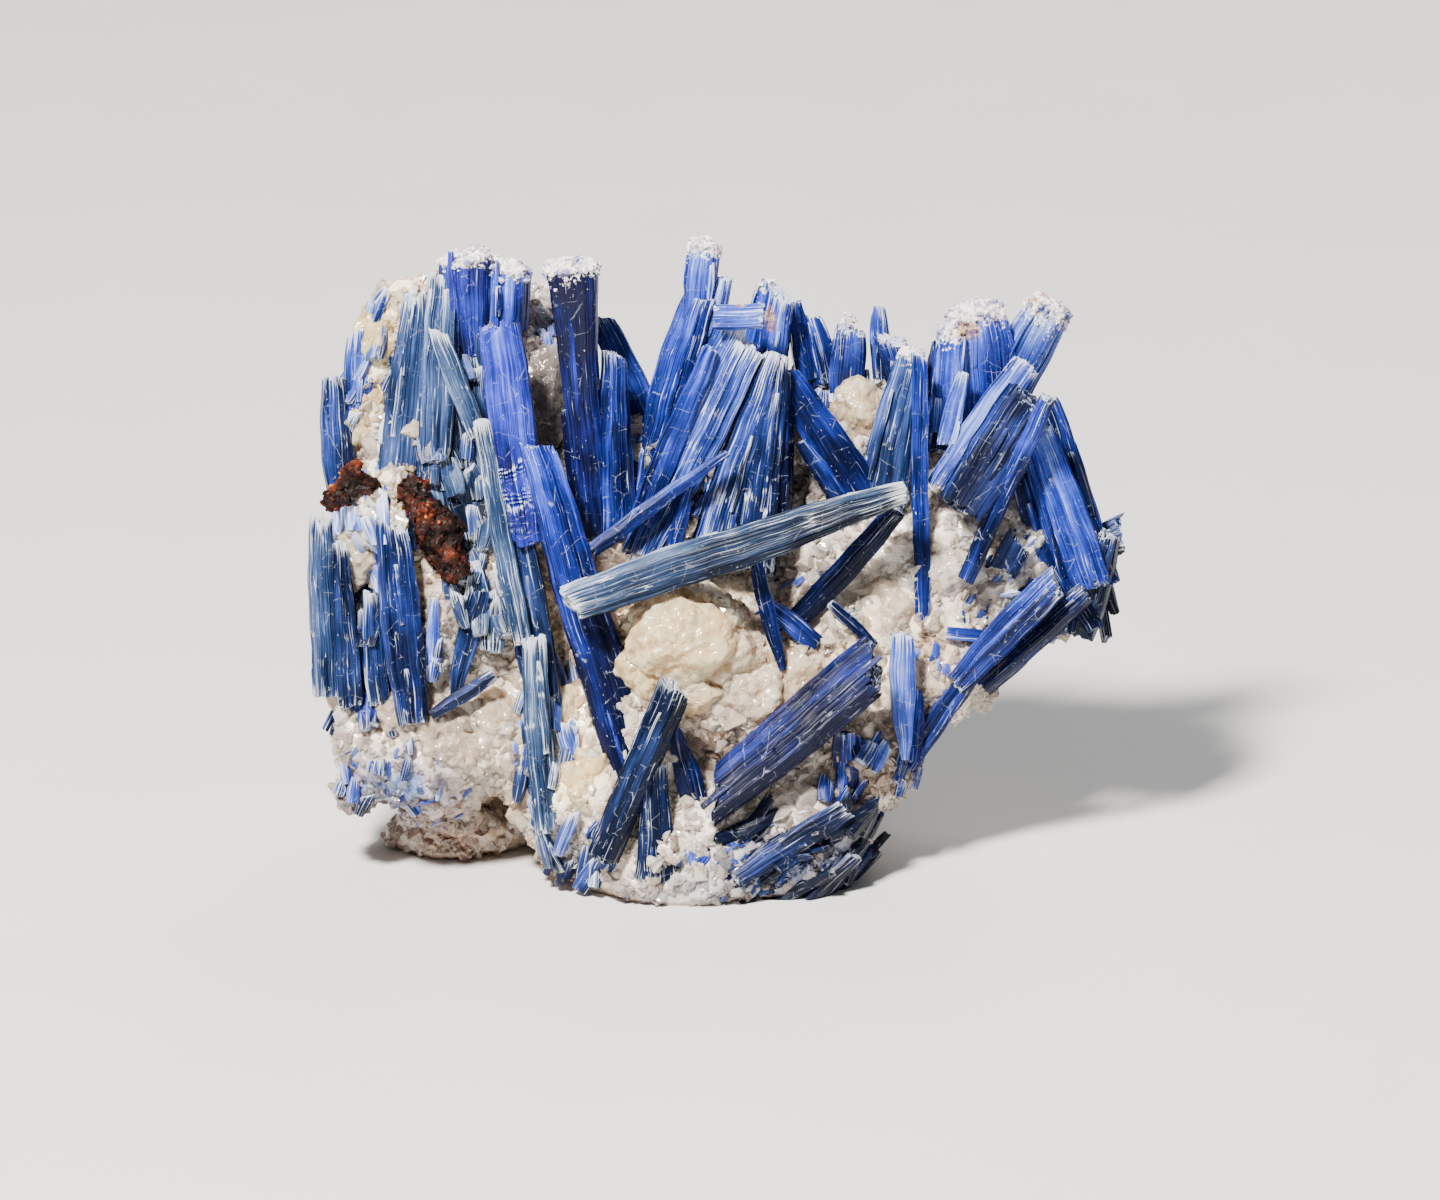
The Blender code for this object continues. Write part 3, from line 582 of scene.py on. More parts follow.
def closed_ball(around, down):
    """Points and faces of a ball of radius 1: (cos t sin p, sin t sin p, cos p) in rings, and two poles."""
    turn, tip = np.meshgrid(2 * np.pi * np.arange(around) / around, np.pi * np.arange(1, down) / down)
    rings = np.stack((np.cos(turn) * np.sin(tip), np.sin(turn) * np.sin(tip), np.cos(tip)), axis=-1)
    quads, fans = tube_faces(down - 1, around)
    points = np.concatenate((rings.reshape(-1, 3), [(0, 0, 1), (0, 0, -1)]))
    return points, quads[:, [0, 3, 2, 1]], fans[:, ::-1]


def worn_copy(node, voxel, smooth_steps):
    """A node's solid as evenly spaced points, normals and quads: merged, remeshed and smoothed. In mm."""
    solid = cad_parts[node]
    copy = bmesh.new()
    copy.from_mesh(solid.data)
    bmesh.ops.remove_doubles(copy, verts=copy.verts, dist=0.01 * MM)
    mesh = bpy.data.meshes.new(node + "_copy")
    copy.to_mesh(mesh)
    copy.free()
    made = bpy.data.objects.new(node + "_copy", mesh)
    bpy.context.scene.collection.objects.link(made)
    remesh = made.modifiers.new("even", "REMESH")
    remesh.mode = "VOXEL"
    remesh.voxel_size = voxel * MM
    soften = made.modifiers.new("soften", "SMOOTH")
    soften.iterations = smooth_steps
    bpy.context.view_layer.update()
    graph = bpy.context.evaluated_depsgraph_get()
    even = bpy.data.meshes.new_from_object(made.evaluated_get(graph))
    bpy.data.objects.remove(made)
    points = np.empty(len(even.vertices) * 3)
    normals = np.empty(len(even.vertices) * 3)
    corners = np.empty(len(even.loops), dtype=int)
    sizes = np.empty(len(even.polygons), dtype=int)
    even.vertices.foreach_get("co", points)
    even.vertices.foreach_get("normal", normals)
    even.loops.foreach_get("vertex_index", corners)
    even.polygons.foreach_get("loop_total", sizes)
    assert (sizes == 4).all()
    bpy.data.meshes.remove(even)
    return points.reshape(-1, 3) / MM, normals.reshape(-1, 3), corners.reshape(-1, 4)


def sample(points, quads, weights, count, draw):
    """Random places on a surface and which way is out: a face by area and weight, then a point in it."""
    a, b, c, d = (points[quads[:, k]] for k in range(4))
    area = np.linalg.norm(np.cross(c - a, d - b), axis=1) / 2
    chance = np.cumsum(area * weights[quads].mean(axis=1))
    face = np.searchsorted(chance, draw.uniform(0, chance[-1], count))
    u, v = draw.uniform(0, 1, (2, count, 1))
    spots = (1 - u) * (1 - v) * a[face] + u * (1 - v) * b[face] + u * v * c[face] + (1 - u) * v * d[face]
    return spots, unit(np.cross(c[face] - a[face], d[face] - b[face]))


def grain_shapes(count, seed, corners=(9, 14), squash=(0.65, 1.15)):
    """A few broken grains: each is the hull of a few random points on a squashed ball of radius 1."""
    draw = np.random.default_rng(seed)
    shapes = []
    for _ in range(count):
        spots = unit(draw.normal(size=(draw.integers(*corners), 3)))
        spots *= draw.uniform(*squash, 3)
        hull = bmesh.new()
        for spot in spots:
            hull.verts.new(spot)
        made = bmesh.ops.convex_hull(hull, input=hull.verts)
        bmesh.ops.delete(hull, geom=made["geom_interior"] + made["geom_unused"], context="VERTS")
        bmesh.ops.recalc_face_normals(hull, faces=hull.faces)
        hull.verts.index_update()
        faces = np.array([[vert.index for vert in face.verts] for face in hull.faces])
        shapes.append((np.array([vert.co for vert in hull.verts]), faces))
        hull.free()
    return shapes


def add_grains(heap, shapes, centres, sizes, draw, **attributes):
    """Grains of random shape and turn: a point is centre + size * (the shape's own point, turned)."""
    which = draw.integers(0, len(shapes), len(centres))
    turns = turned(*draw.uniform(0, 1, (3, len(centres))))
    for number, (spots, faces) in enumerate(shapes):
        mine = np.nonzero(which == number)[0]
        if not len(mine):
            continue
        shaped = np.einsum("nij,vj->nvi", turns[mine], spots)
        points = centres[mine][:, None] + sizes[mine][:, None, None] * shaped
        offsets = np.arange(len(mine))[:, None, None] * len(spots)
        triangles = (faces[None] + offsets).reshape(-1, 3)
        own = {key: np.repeat(values[mine], len(spots), axis=0) for key, values in attributes.items()}
        heap.add(points.reshape(-1, 3), triangles, None, **own)


def dress(piece, material, slot, *nodes):
    """Gives a piece its material and its place in the frame, and hides the nodes that it stands for."""
    piece.data.materials.append(material)
    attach(piece, "root")
    if nodes:
        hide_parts(*nodes)


# Materials


def node_maker(material):
    """A function that adds nodes to a material and links them.

    Inputs go by name, with _ for a space, or by number as i0, i1 and so on.
    """
    tree = material.node_tree

    def make(kind, settings=None, **inputs):
        node = tree.nodes.new(kind)
        for key, value in (settings or {}).items():
            setattr(node, key, value)
        for key, value in inputs.items():
            by_number = key[0] == "i" and key[1:].isdigit()
            socket = node.inputs[int(key[1:]) if by_number else key.replace("_", " ")]
            if isinstance(value, bpy.types.NodeSocket):
                tree.links.new(value, socket)
            else:
                socket.default_value = value
        return node

    return make


def new_material(name):
    """A material, its shader and the function that adds nodes to it."""
    material = bpy.data.materials.new(name)
    material.use_nodes = True
    return material, material.node_tree.nodes["Principled BSDF"], node_maker(material)


def drive(shader, **values):
    """Links outputs to a shader's sockets, or sets them to plain values; a socket goes by its name."""
    for key, value in values.items():
        socket = shader.inputs[key.replace("_", " ")]
        if isinstance(value, bpy.types.NodeSocket):
            shader.id_data.links.new(value, socket)
        else:
            socket.default_value = value


def read(make, name, output="Fac"):
    """An attribute of the mesh."""
    return make("ShaderNodeAttribute", {"attribute_name": name}).outputs[output]


def calc(make, way, first, second=0.0, third=0.0):
    """Two or three numbers put together, as way says."""
    return make("ShaderNodeMath", {"operation": way}, i0=first, i1=second, i2=third).outputs[0]


def vector_calc(make, way, first, second, third=(0.0, 0.0, 0.0)):
    """Two or three vectors put together, as way says."""
    return make("ShaderNodeVectorMath", {"operation": way}, i0=first, i1=second, i2=third).outputs[0]


def spread(make, value, low, high, to_low=0.0, to_high=1.0):
    """A number from low to high, spread over to_low to to_high and held between them."""
    return make("ShaderNodeMapRange", Value=value, From_Min=low, From_Max=high, To_Min=to_low,
                To_Max=to_high).outputs[0]


def ramp(make, factor, *stops):
    """A colour ramp: (place, colour) pairs."""
    node = make("ShaderNodeValToRGB", Fac=factor)
    band = node.color_ramp
    while len(band.elements) < len(stops):
        band.elements.new(1.0)
    for element, (place, colour) in zip(band.elements, stops):
        element.position = place
        element.color = (*colour, 1)
    return node.outputs["Color"]


def mix(make, factor, first, second):
    """Two colours mixed."""
    return make("ShaderNodeMix", {"data_type": "RGBA"}, i0=factor, i6=first, i7=second).outputs[2]


def noise(make, vector, scale, detail=2.0, roughness=0.6):
    """Cloudy noise, about 0.3 to 0.7."""
    return make("ShaderNodeTexNoise", Vector=vector, Scale=scale, Detail=detail,
                Roughness=roughness).outputs["Fac"]


def drawn_out(make, vector, across, along, start=0.0, turn=0.0):
    """Coordinates along the fibres, scaled so that a feature is 1 / across mm by 1 / along mm."""
    return make("ShaderNodeMapping", Vector=vector, Location=(start, start, start),
                Rotation=(0.0, 0.0, turn), Scale=(across, along, 1.0)).outputs[0]


def streaks(make, fibre, across, along, start=0.0):
    """Noise drawn out along the fibres, from about -0.5 to 0.5."""
    streaked = noise(make, drawn_out(make, fibre, across, along, start), 1.0)
    return spread(make, streaked, 0.34, 0.66, -0.5, 0.5)


def seams_between(make, vector, scale):
    """How far it is to the nearest joint between the cells of a mosaic."""
    return make("ShaderNodeTexVoronoi", {"feature": "DISTANCE_TO_EDGE"}, Vector=vector,
                Scale=scale).outputs["Distance"]


def glints(make, cells, tilt, normal):
    """A normal that tilts at random in each cell of a fine mosaic, so that facets catch the light."""
    tilted = vector_calc(make, "MULTIPLY_ADD", cells, (tilt, tilt, tilt), (-tilt / 2, -tilt / 2, -tilt / 2))
    return vector_calc(make, "NORMALIZE", vector_calc(make, "ADD", tilted, normal), (0.0, 0.0, 0.0))


def kyanite_white(make, fibre, pale, fine, middle):
    """Where a blade is white: lines along it where it is pale, and dashes and thin cracks in patches."""
    lines = calc(make, "MULTIPLY_ADD", fine, 0.75, calc(make, "MULTIPLY", middle, 0.6))
    lined = spread(make, calc(make, "MULTIPLY_ADD", pale, 1.0, calc(make, "ADD", lines, -0.5)), 0.0, 0.3)
    dashes = spread(make, noise(make, drawn_out(make, fibre, 3.6, 1.2), 1.0), 0.67, 0.73)
    patches = noise(make, fibre, 0.45, 2.0)
    dashed = calc(make, "MULTIPLY", dashes, spread(make, patches, 0.44, 0.58, 0.0, 0.7))
    stray = make("ShaderNodeTexNoise", Vector=fibre, Scale=0.8, Detail=1.0).outputs["Color"]
    strayed = vector_calc(make, "MULTIPLY_ADD", stray, (0.7, 0.7, 0.0), fibre)
    net = drawn_out(make, strayed, 0.2, 0.26, turn=0.35)
    cracks = spread(make, seams_between(make, net, 1.0), 0.003, 0.012, 1.0, 0.0)
    cracked = calc(make, "MULTIPLY", cracks, spread(make, patches, 0.48, 0.62, 0.0, 0.28))
    return calc(make, "MAXIMUM", calc(make, "MAXIMUM", lined, dashed), cracked)


def kyanite_colour(make, value, slate):
    """Kyanite from navy, at 0, to pale, at 1: blue, greyed by slate, or violet where slate is below 0."""
    blue = ramp(make, value, (0.0, (0.0010, 0.0022, 0.018)), (0.2, (0.0030, 0.0075, 0.075)),
                (0.4, (0.0095, 0.0225, 0.250)), (0.6, (0.0380, 0.0740, 0.520)), (0.8, (0.165, 0.250, 0.740)),
                (1.0, (0.500, 0.600, 0.880)))
    grey = ramp(make, value, (0.0, (0.0020, 0.0045, 0.014)), (0.25, (0.010, 0.024, 0.065)),
                (0.5, (0.034, 0.064, 0.145)), (0.75, (0.125, 0.180, 0.295)), (1.0, (0.450, 0.510, 0.620)))
    violet = ramp(make, value, (0.0, (0.0050, 0.0035, 0.035)), (0.4, (0.022, 0.026, 0.310)),
                  (0.6, (0.075, 0.095, 0.560)), (1.0, (0.520, 0.540, 0.850)))
    below_zero = calc(make, "MAXIMUM", calc(make, "MULTIPLY", slate, -1.0), 0.0)
    return mix(make, below_zero, mix(make, calc(make, "MAXIMUM", slate, 0.0), blue, grey), violet)


def kyanite_material():
    """Blue kyanite: streaks and grooves run along the fibre attribute.

    Its colour follows tone and slate. Pale breaks it up into white lines, crust makes it sugary and ochre
    stains it. Tone and pale also carry the painted light and painted shade that add_blade puts on the blades.
    """
    material, shader, make = new_material("kyanite")
    fibre = read(make, "fibre", "Vector")
    tone, slate, pale, crust = (read(make, name) for name in ("tone", "slate", "pale", "crust"))
    where = make("ShaderNodeTexCoord").outputs["Object"]
    broad = streaks(make, fibre, 0.3, 0.05)
    middle = streaks(make, fibre, 2.7, 0.06, 7.0)
    fine = streaks(make, fibre, 6.0, 0.13, 19.0)
    cloud = noise(make, where, 130.0, 4.0)
    value = calc(make, "MULTIPLY_ADD", broad, 0.36, calc(make, "ADD", tone, -0.165))
    value = calc(make, "MULTIPLY_ADD", middle, 0.2, value)
    value = calc(make, "MULTIPLY_ADD", fine, 0.24, value)
    value = calc(make, "MULTIPLY_ADD", spread(make, cloud, 0.3, 0.7, -0.5, 0.5), 0.30, value)
    white = kyanite_white(make, fibre, pale, fine, middle)
    whitest = ramp(make, slate, (0.0, (0.60, 0.68, 0.87)), (0.8, (0.56, 0.61, 0.68)))
    colour = mix(make, calc(make, "MINIMUM", white, 0.78), kyanite_colour(make, value, slate), whitest)
    speck = noise(make, where, 1500.0, 2.0, 0.7)
    blotch = spread(make, noise(make, where, 420.0, 2.0), 0.4, 0.6, -0.12, 0.12)
    sugar = ramp(make, calc(make, "ADD", speck, blotch), (0.32, (0.10, 0.13, 0.34)),
                 (0.45, (0.42, 0.38, 0.44)), (0.56, (0.74, 0.67, 0.66)), (0.68, (0.94, 0.91, 0.92)))
    crusted = spread(make, calc(make, "ADD", crust, spread(make, speck, 0.3, 0.7, -0.3, 0.3)), 0.3, 0.5)
    colour = mix(make, calc(make, "MINIMUM", crusted, 0.96), colour, sugar)
    ochre = ramp(make, speck, (0.35, (0.09, 0.030, 0.008)), (0.55, (0.40, 0.20, 0.05)),
                 (0.7, (0.66, 0.50, 0.24)))
    stained = spread(make, calc(make, "MULTIPLY_ADD", cloud, 1.4, read(make, "ochre")), 1.0, 1.35)
    colour = mix(make, calc(make, "MINIMUM", stained, 0.7), colour, ochre)
    rough = calc(make, "MULTIPLY_ADD", white, 0.2, spread(make, broad, -0.5, 0.5, 0.24, 0.38))
    rough = calc(make, "MAXIMUM", rough, calc(make, "MULTIPLY", crust, 0.55))
    height = calc(make, "MULTIPLY_ADD", fine, 0.5, calc(make, "MULTIPLY_ADD", speck, crust, middle))
    bump = make("ShaderNodeBump", Height=height, Strength=0.6, Distance=0.00008)
    drive(shader, Base_Color=colour, Roughness=rough, Normal=bump.outputs[0], IOR=1.6,
          Specular_IOR_Level=0.13)
    return material


def quartz_colour(make, value, warm, shade, stain, cloud, fine):
    """Quartz from dark, at 0, to light, at 1: cool or cream, and smoky, brown or dusty blue where stained."""
    cool = ramp(make, value, (0.1, (0.32, 0.25, 0.21)), (0.35, (0.64, 0.54, 0.47)),
                (0.6, (0.89, 0.79, 0.71)), (0.9, (1.0, 0.95, 0.89)))
    cream = ramp(make, value, (0.1, (0.36, 0.20, 0.08)), (0.35, (0.77, 0.52, 0.25)),
                 (0.6, (0.97, 0.76, 0.44)), (0.9, (1.0, 0.89, 0.65)))
    smoke = ramp(make, value, (0.1, (0.050, 0.047, 0.050)), (0.6, (0.13, 0.12, 0.125)),
                 (1.0, (0.36, 0.34, 0.34)))
    rusty = ramp(make, fine, (0.32, (0.06, 0.020, 0.010)), (0.52, (0.26, 0.115, 0.05)),
                 (0.7, (0.58, 0.38, 0.22)))
    dust = ramp(make, calc(make, "MULTIPLY_ADD", shade, 0.4, calc(make, "MULTIPLY", fine, 0.6)),
                (0.3, (0.014, 0.036, 0.15)), (0.5, (0.075, 0.15, 0.38)), (0.72, (0.34, 0.44, 0.66)))
    patch = spread(make, cloud, 0.25, 0.65, 0.6, 1.0)
    colour = mix(make, warm, cool, cream)
    colour = mix(make, calc(make, "MULTIPLY", stain[1], patch), colour, smoke)
    colour = mix(make, calc(make, "MULTIPLY", stain[0], patch), colour, rusty)
    return mix(make, calc(make, "MULTIPLY", stain[2], spread(make, cloud, 0.36, 0.52)), colour, dust)


def quartz_material(name, transmission, tilt, glow, seams):
    """Quartz in a mosaic of small grains, each with its own shade. The shade attribute also carries painted
    light and painted shade from the rock and its lumps.

    Tilt is how much a grain's facets turn the light, glow how much light goes into the quartz and comes out
    beside, and seams how dark the joints between grains are.
    """
    material, shader, make = new_material(name)
    where = make("ShaderNodeTexCoord").outputs["Object"]
    stain = make("ShaderNodeSeparateXYZ", Vector=read(make, "stains", "Vector")).outputs
    shade, warm = read(make, "shade"), read(make, "warm")
    cloud = noise(make, where, 120.0, 3.0)
    fine = noise(make, where, 1100.0, 2.0, 0.7)
    mosaic = make("ShaderNodeTexVoronoi", Vector=where, Scale=MOSAIC).outputs["Color"]
    cells = make("ShaderNodeSeparateColor", Color=mosaic).outputs[0]
    seam = spread(make, seams_between(make, where, MOSAIC), 0.0, 0.12, 1.0, 0.0)
    value = calc(make, "MULTIPLY", shade, 0.45)
    value = calc(make, "MULTIPLY_ADD", spread(make, cloud, 0.3, 0.7), 0.3, value)
    value = calc(make, "MULTIPLY_ADD", cells, 0.3, value)
    value = calc(make, "MULTIPLY_ADD", seam, -seams, value)
    height = calc(make, "MULTIPLY_ADD", seam, -4.0 * seams, calc(make, "MULTIPLY", fine, 0.5))
    bump = make("ShaderNodeBump", Height=height, Strength=0.6, Distance=0.00014)
    drive(shader, Base_Color=quartz_colour(make, value, warm, shade, stain, cloud, fine),
          Roughness=spread(make, cells, 0.0, 1.0, 0.04, 0.28), IOR=1.54, Transmission_Weight=transmission,
          Normal=glints(make, mosaic, tilt, bump.outputs[0]))
    drive(shader, Subsurface_Weight=glow, Subsurface_Radius=(1.0, 0.85, 0.65), Subsurface_Scale=0.0012)
    return material


def iron_material():
    """Iron oxide: near black to rust red, with orange and yellow crumbs, rough with a few shiny spots."""
    material, shader, make = new_material("iron_oxide")
    where = make("ShaderNodeTexCoord").outputs["Object"]
    cloud = noise(make, where, 330.0, 3.0, 0.65)
    fine = noise(make, where, 1500.0, 3.0, 0.65)
    value = calc(make, "MULTIPLY_ADD", fine, 0.5, calc(make, "MULTIPLY", spread(make, cloud, 0.3, 0.7), 0.4))
    value = calc(make, "MULTIPLY_ADD", read(make, "shade"), 0.3, value)
    colour = ramp(make, value, (0.36, (0.0012, 0.0004, 0.0003)), (0.53, (0.010, 0.0019, 0.0008)),
                  (0.68, (0.048, 0.0072, 0.0022)), (0.82, (0.14, 0.026, 0.006)), (0.96, (0.46, 0.18, 0.035)))
    bump = make("ShaderNodeBump", Height=fine, Strength=0.6, Distance=0.00018)
    drive(shader, Base_Color=colour, Roughness=spread(make, fine, 0.35, 0.65, 0.3, 0.9),
          Normal=bump.outputs[0], Specular_IOR_Level=0.18)
    return material


def floor_material():
    """A matt floor of nearly one colour."""
    material, shader, make = new_material("floor")
    where = make("ShaderNodeTexCoord").outputs["Object"]
    grit = make("ShaderNodeTexNoise", Vector=where, Scale=30.0, Detail=2.0).outputs["Fac"]
    darker = tuple(c * 0.97 for c in FLOOR_COLOUR)
    colour = ramp(make, grit, (0.3, darker), (0.7, FLOOR_COLOUR))
    drive(shader, Base_Color=colour, Roughness=FLOOR_ROUGH)
    return material


KYANITE = kyanite_material()
QUARTZ = quartz_material("quartz", transmission=0.0, tilt=0.4, glow=0.4, seams=0.16)
QUARTZ_MILKY = quartz_material("quartz_milky", transmission=0.5, tilt=0.5, glow=0.55, seams=0.1)
QUARTZ_CLEAR = quartz_material("quartz_clear", transmission=0.75, tilt=0.15, glow=0.0, seams=0.05)
IRON = iron_material()


# Blades


def section(corners, ridges, width, deep, step):
    """Points round a flattened prism, at even steps, and which way is out at each.

    Corner k stands at angle a = 2 pi (k + 1/2) / corners. Its place is its ridge times
    (sign cos a |cos a|^0.55, sign sin a |sin a|^0.7). Points between two corners lie on the straight line
    that joins them.
    """
    angle = 2 * np.pi * (np.arange(corners) + 0.5) / corners
    reach = np.sign(np.cos(angle)) * np.abs(np.cos(angle)) ** 0.55 * ridges
    rise = np.sign(np.sin(angle)) * np.abs(np.sin(angle)) ** 0.7 * ridges
    next_reach, next_rise = np.roll(reach, -1), np.roll(rise, -1)
    run_x, run_y = (next_reach - reach) * width / 2, (next_rise - rise) * deep / 2
    edge = np.hypot(run_x, run_y)
    ends = np.cumsum(edge)
    count = max(16, int(ends[-1] / step))
    walked = (np.arange(count) + 0.5) / count * ends[-1]
    k = np.searchsorted(ends, walked)
    share = 1 - (ends[k] - walked) / edge[k]
    unit_x = reach[k] + share * (next_reach[k] - reach[k])
    unit_y = rise[k] + share * (next_rise[k] - rise[k])
    return unit_x, unit_y, run_y[k] / edge[k], -run_x[k] / edge[k], walked


def laminae(walked, lengthwise, depth, draw):
    """How deep each lamina of a blade lies under its outline, for every point round it and along it, in mm.

    Laminae are strips of uneven width with a rounded crown. Each lies at its own depth, and drops further
    where it has broken off. Fine grooves run along them, deeper on some than on others: the creases of
    |cos| waves, whose phase drifts along the blade. Gives the depth, how near the edge of a break each
    point is, its strip and its groove.
    """
    strip_ends = np.cumsum(draw.uniform(0.5, 3.0, 200))
    strip = np.searchsorted(strip_ends, walked)
    strips = strip.max() + 1
    strip_starts = np.concatenate(([0], strip_ends))[strip]
    crown = 2 * (walked - strip_starts) / (strip_ends[strip] - strip_starts) - 1
    base = draw.uniform(0, 1, strips) ** 1.5
    breaks = draw.uniform(0.03, 0.97, (3, strips))
    drops = draw.uniform(0.2, 1, (3, strips)) * (draw.uniform(0, 1, (3, strips)) < 0.45)
    upward = draw.uniform(0, 1, (3, strips)) < 0.6
    depths = np.broadcast_to(base[strip] + 0.45 * crown ** 4, (len(lengthwise), len(walked))).copy()
    edges = np.zeros_like(depths)
    place = lengthwise[:, None]
    for step in range(3):
        wander = 0.012 * np.sin(walked * 9.0 + step)
        past = place - breaks[step][strip] - wander
        past = np.where(upward[step][strip], past, -past)
        depths += drops[step][strip] * (past > 0)
        edges = np.maximum(edges, (drops[step][strip] > 0) * np.exp(-np.abs(past) * 110))
    groove = np.zeros_like(depths)
    for wave in GROOVES:
        phase, drift = draw.uniform(0, 1), draw.uniform(-0.9, 0.9)
        groove += np.abs(np.cos(np.pi * (walked / wave + phase + drift * place))) * wave ** 0.5
    groove = (1 - groove / sum(wave ** 0.5 for wave in GROOVES)) * draw.uniform(0.15, 1.2, strips)[strip]
    return depth * (0.45 * depths + 0.6 * groove), edges, strip, groove


def folded(sunk, unit_x, travel, start, finish, pitch):
    """Cross folds over a stretch of a blade: the depth gains a |sin| wave along it, strongest on one side.

    Gives the new depth and how near each point is to the crest of a fold.
    """
    inside = np.clip((travel - start) / 1.2, 0, 1) * np.clip((finish - travel) / 1.2, 0, 1)
    bunched = 0.55 + 0.45 * np.sin(travel * 1.1 + 0.6)
    amount = (inside * bunched)[:, None] * np.clip(0.85 - 0.4 * unit_x, 0, 1)
    bent = travel + 0.4 * np.sin(travel * 1.7)
    wave = np.abs(np.sin(np.pi * (bent[:, None] / pitch + 0.3 * np.sin(unit_x * 3 + travel[:, None] * 0.8))))
    return sunk * (1 - 0.7 * amount) + amount * 0.6 * (1 - wave), amount * wave ** 3


def ragged(x, y, share, reach, kind, slant, key):
    """How far a blade's broken end falls short of its full length, at each place of its section, in mm.

    "r" breaks into splinters: small plates, each ending at its own length. "c" is a crusted dome, lower at
    its rim. A slant cuts the end back steadily across the width.
    """
    aside = x / (np.ptp(x) + 1e-6)
    lean = slant * (0.5 + aside) if slant >= 0 else -slant * (0.5 - aside)
    if kind == "c":
        return lean + 0.35 + 0.9 * share ** 3 + 0.35 * np.sin(x * 1.9 + key) * np.sin(y * 1.5 + key)
    plate_x = np.floor(x / 0.8 + 0.4 * np.sin(y * 1.7 + key))
    plate_y = np.floor(y / 0.9 + key)
    broad = 0.5 + 0.5 * np.sin(x * 0.9 + key * 7) * np.cos(y * 0.8 + key)
    return lean + reach * (0.55 * scramble(plate_x, plate_y, key) ** 1.4 + 0.45 * broad)


def blade_axes(blade):
    """Where a blade starts, its length, and its directions: along it, across it and out of its flat side."""
    start, finish = at(blade.foot), at(blade.tip)
    length = np.linalg.norm(finish - start)
    along = (finish - start) / length
    flat = unit(FACE_PROUD - along * (FACE_PROUD @ along))
    angle = math.radians(blade.turn)
    flat = flat * math.cos(angle) + np.cross(along, flat) * math.sin(angle)
    return start, length, along, np.cross(along, flat), flat


def blade_size(blade, place):
    """A blade's width and thickness at a place p from 0, its foot, to 1, its tip.

    The width is low + (high - low) p + 4 p (1 - p) (middle - (low + high) / 2). The thickness follows it a
    little.
    """
    low, middle, high = blade.widths
    width = low + (high - low) * place + 4 * place * (1 - place) * (middle - (low + high) / 2)
    return width, blade.thickness * (0.8 + 0.2 * width / max(blade.widths))


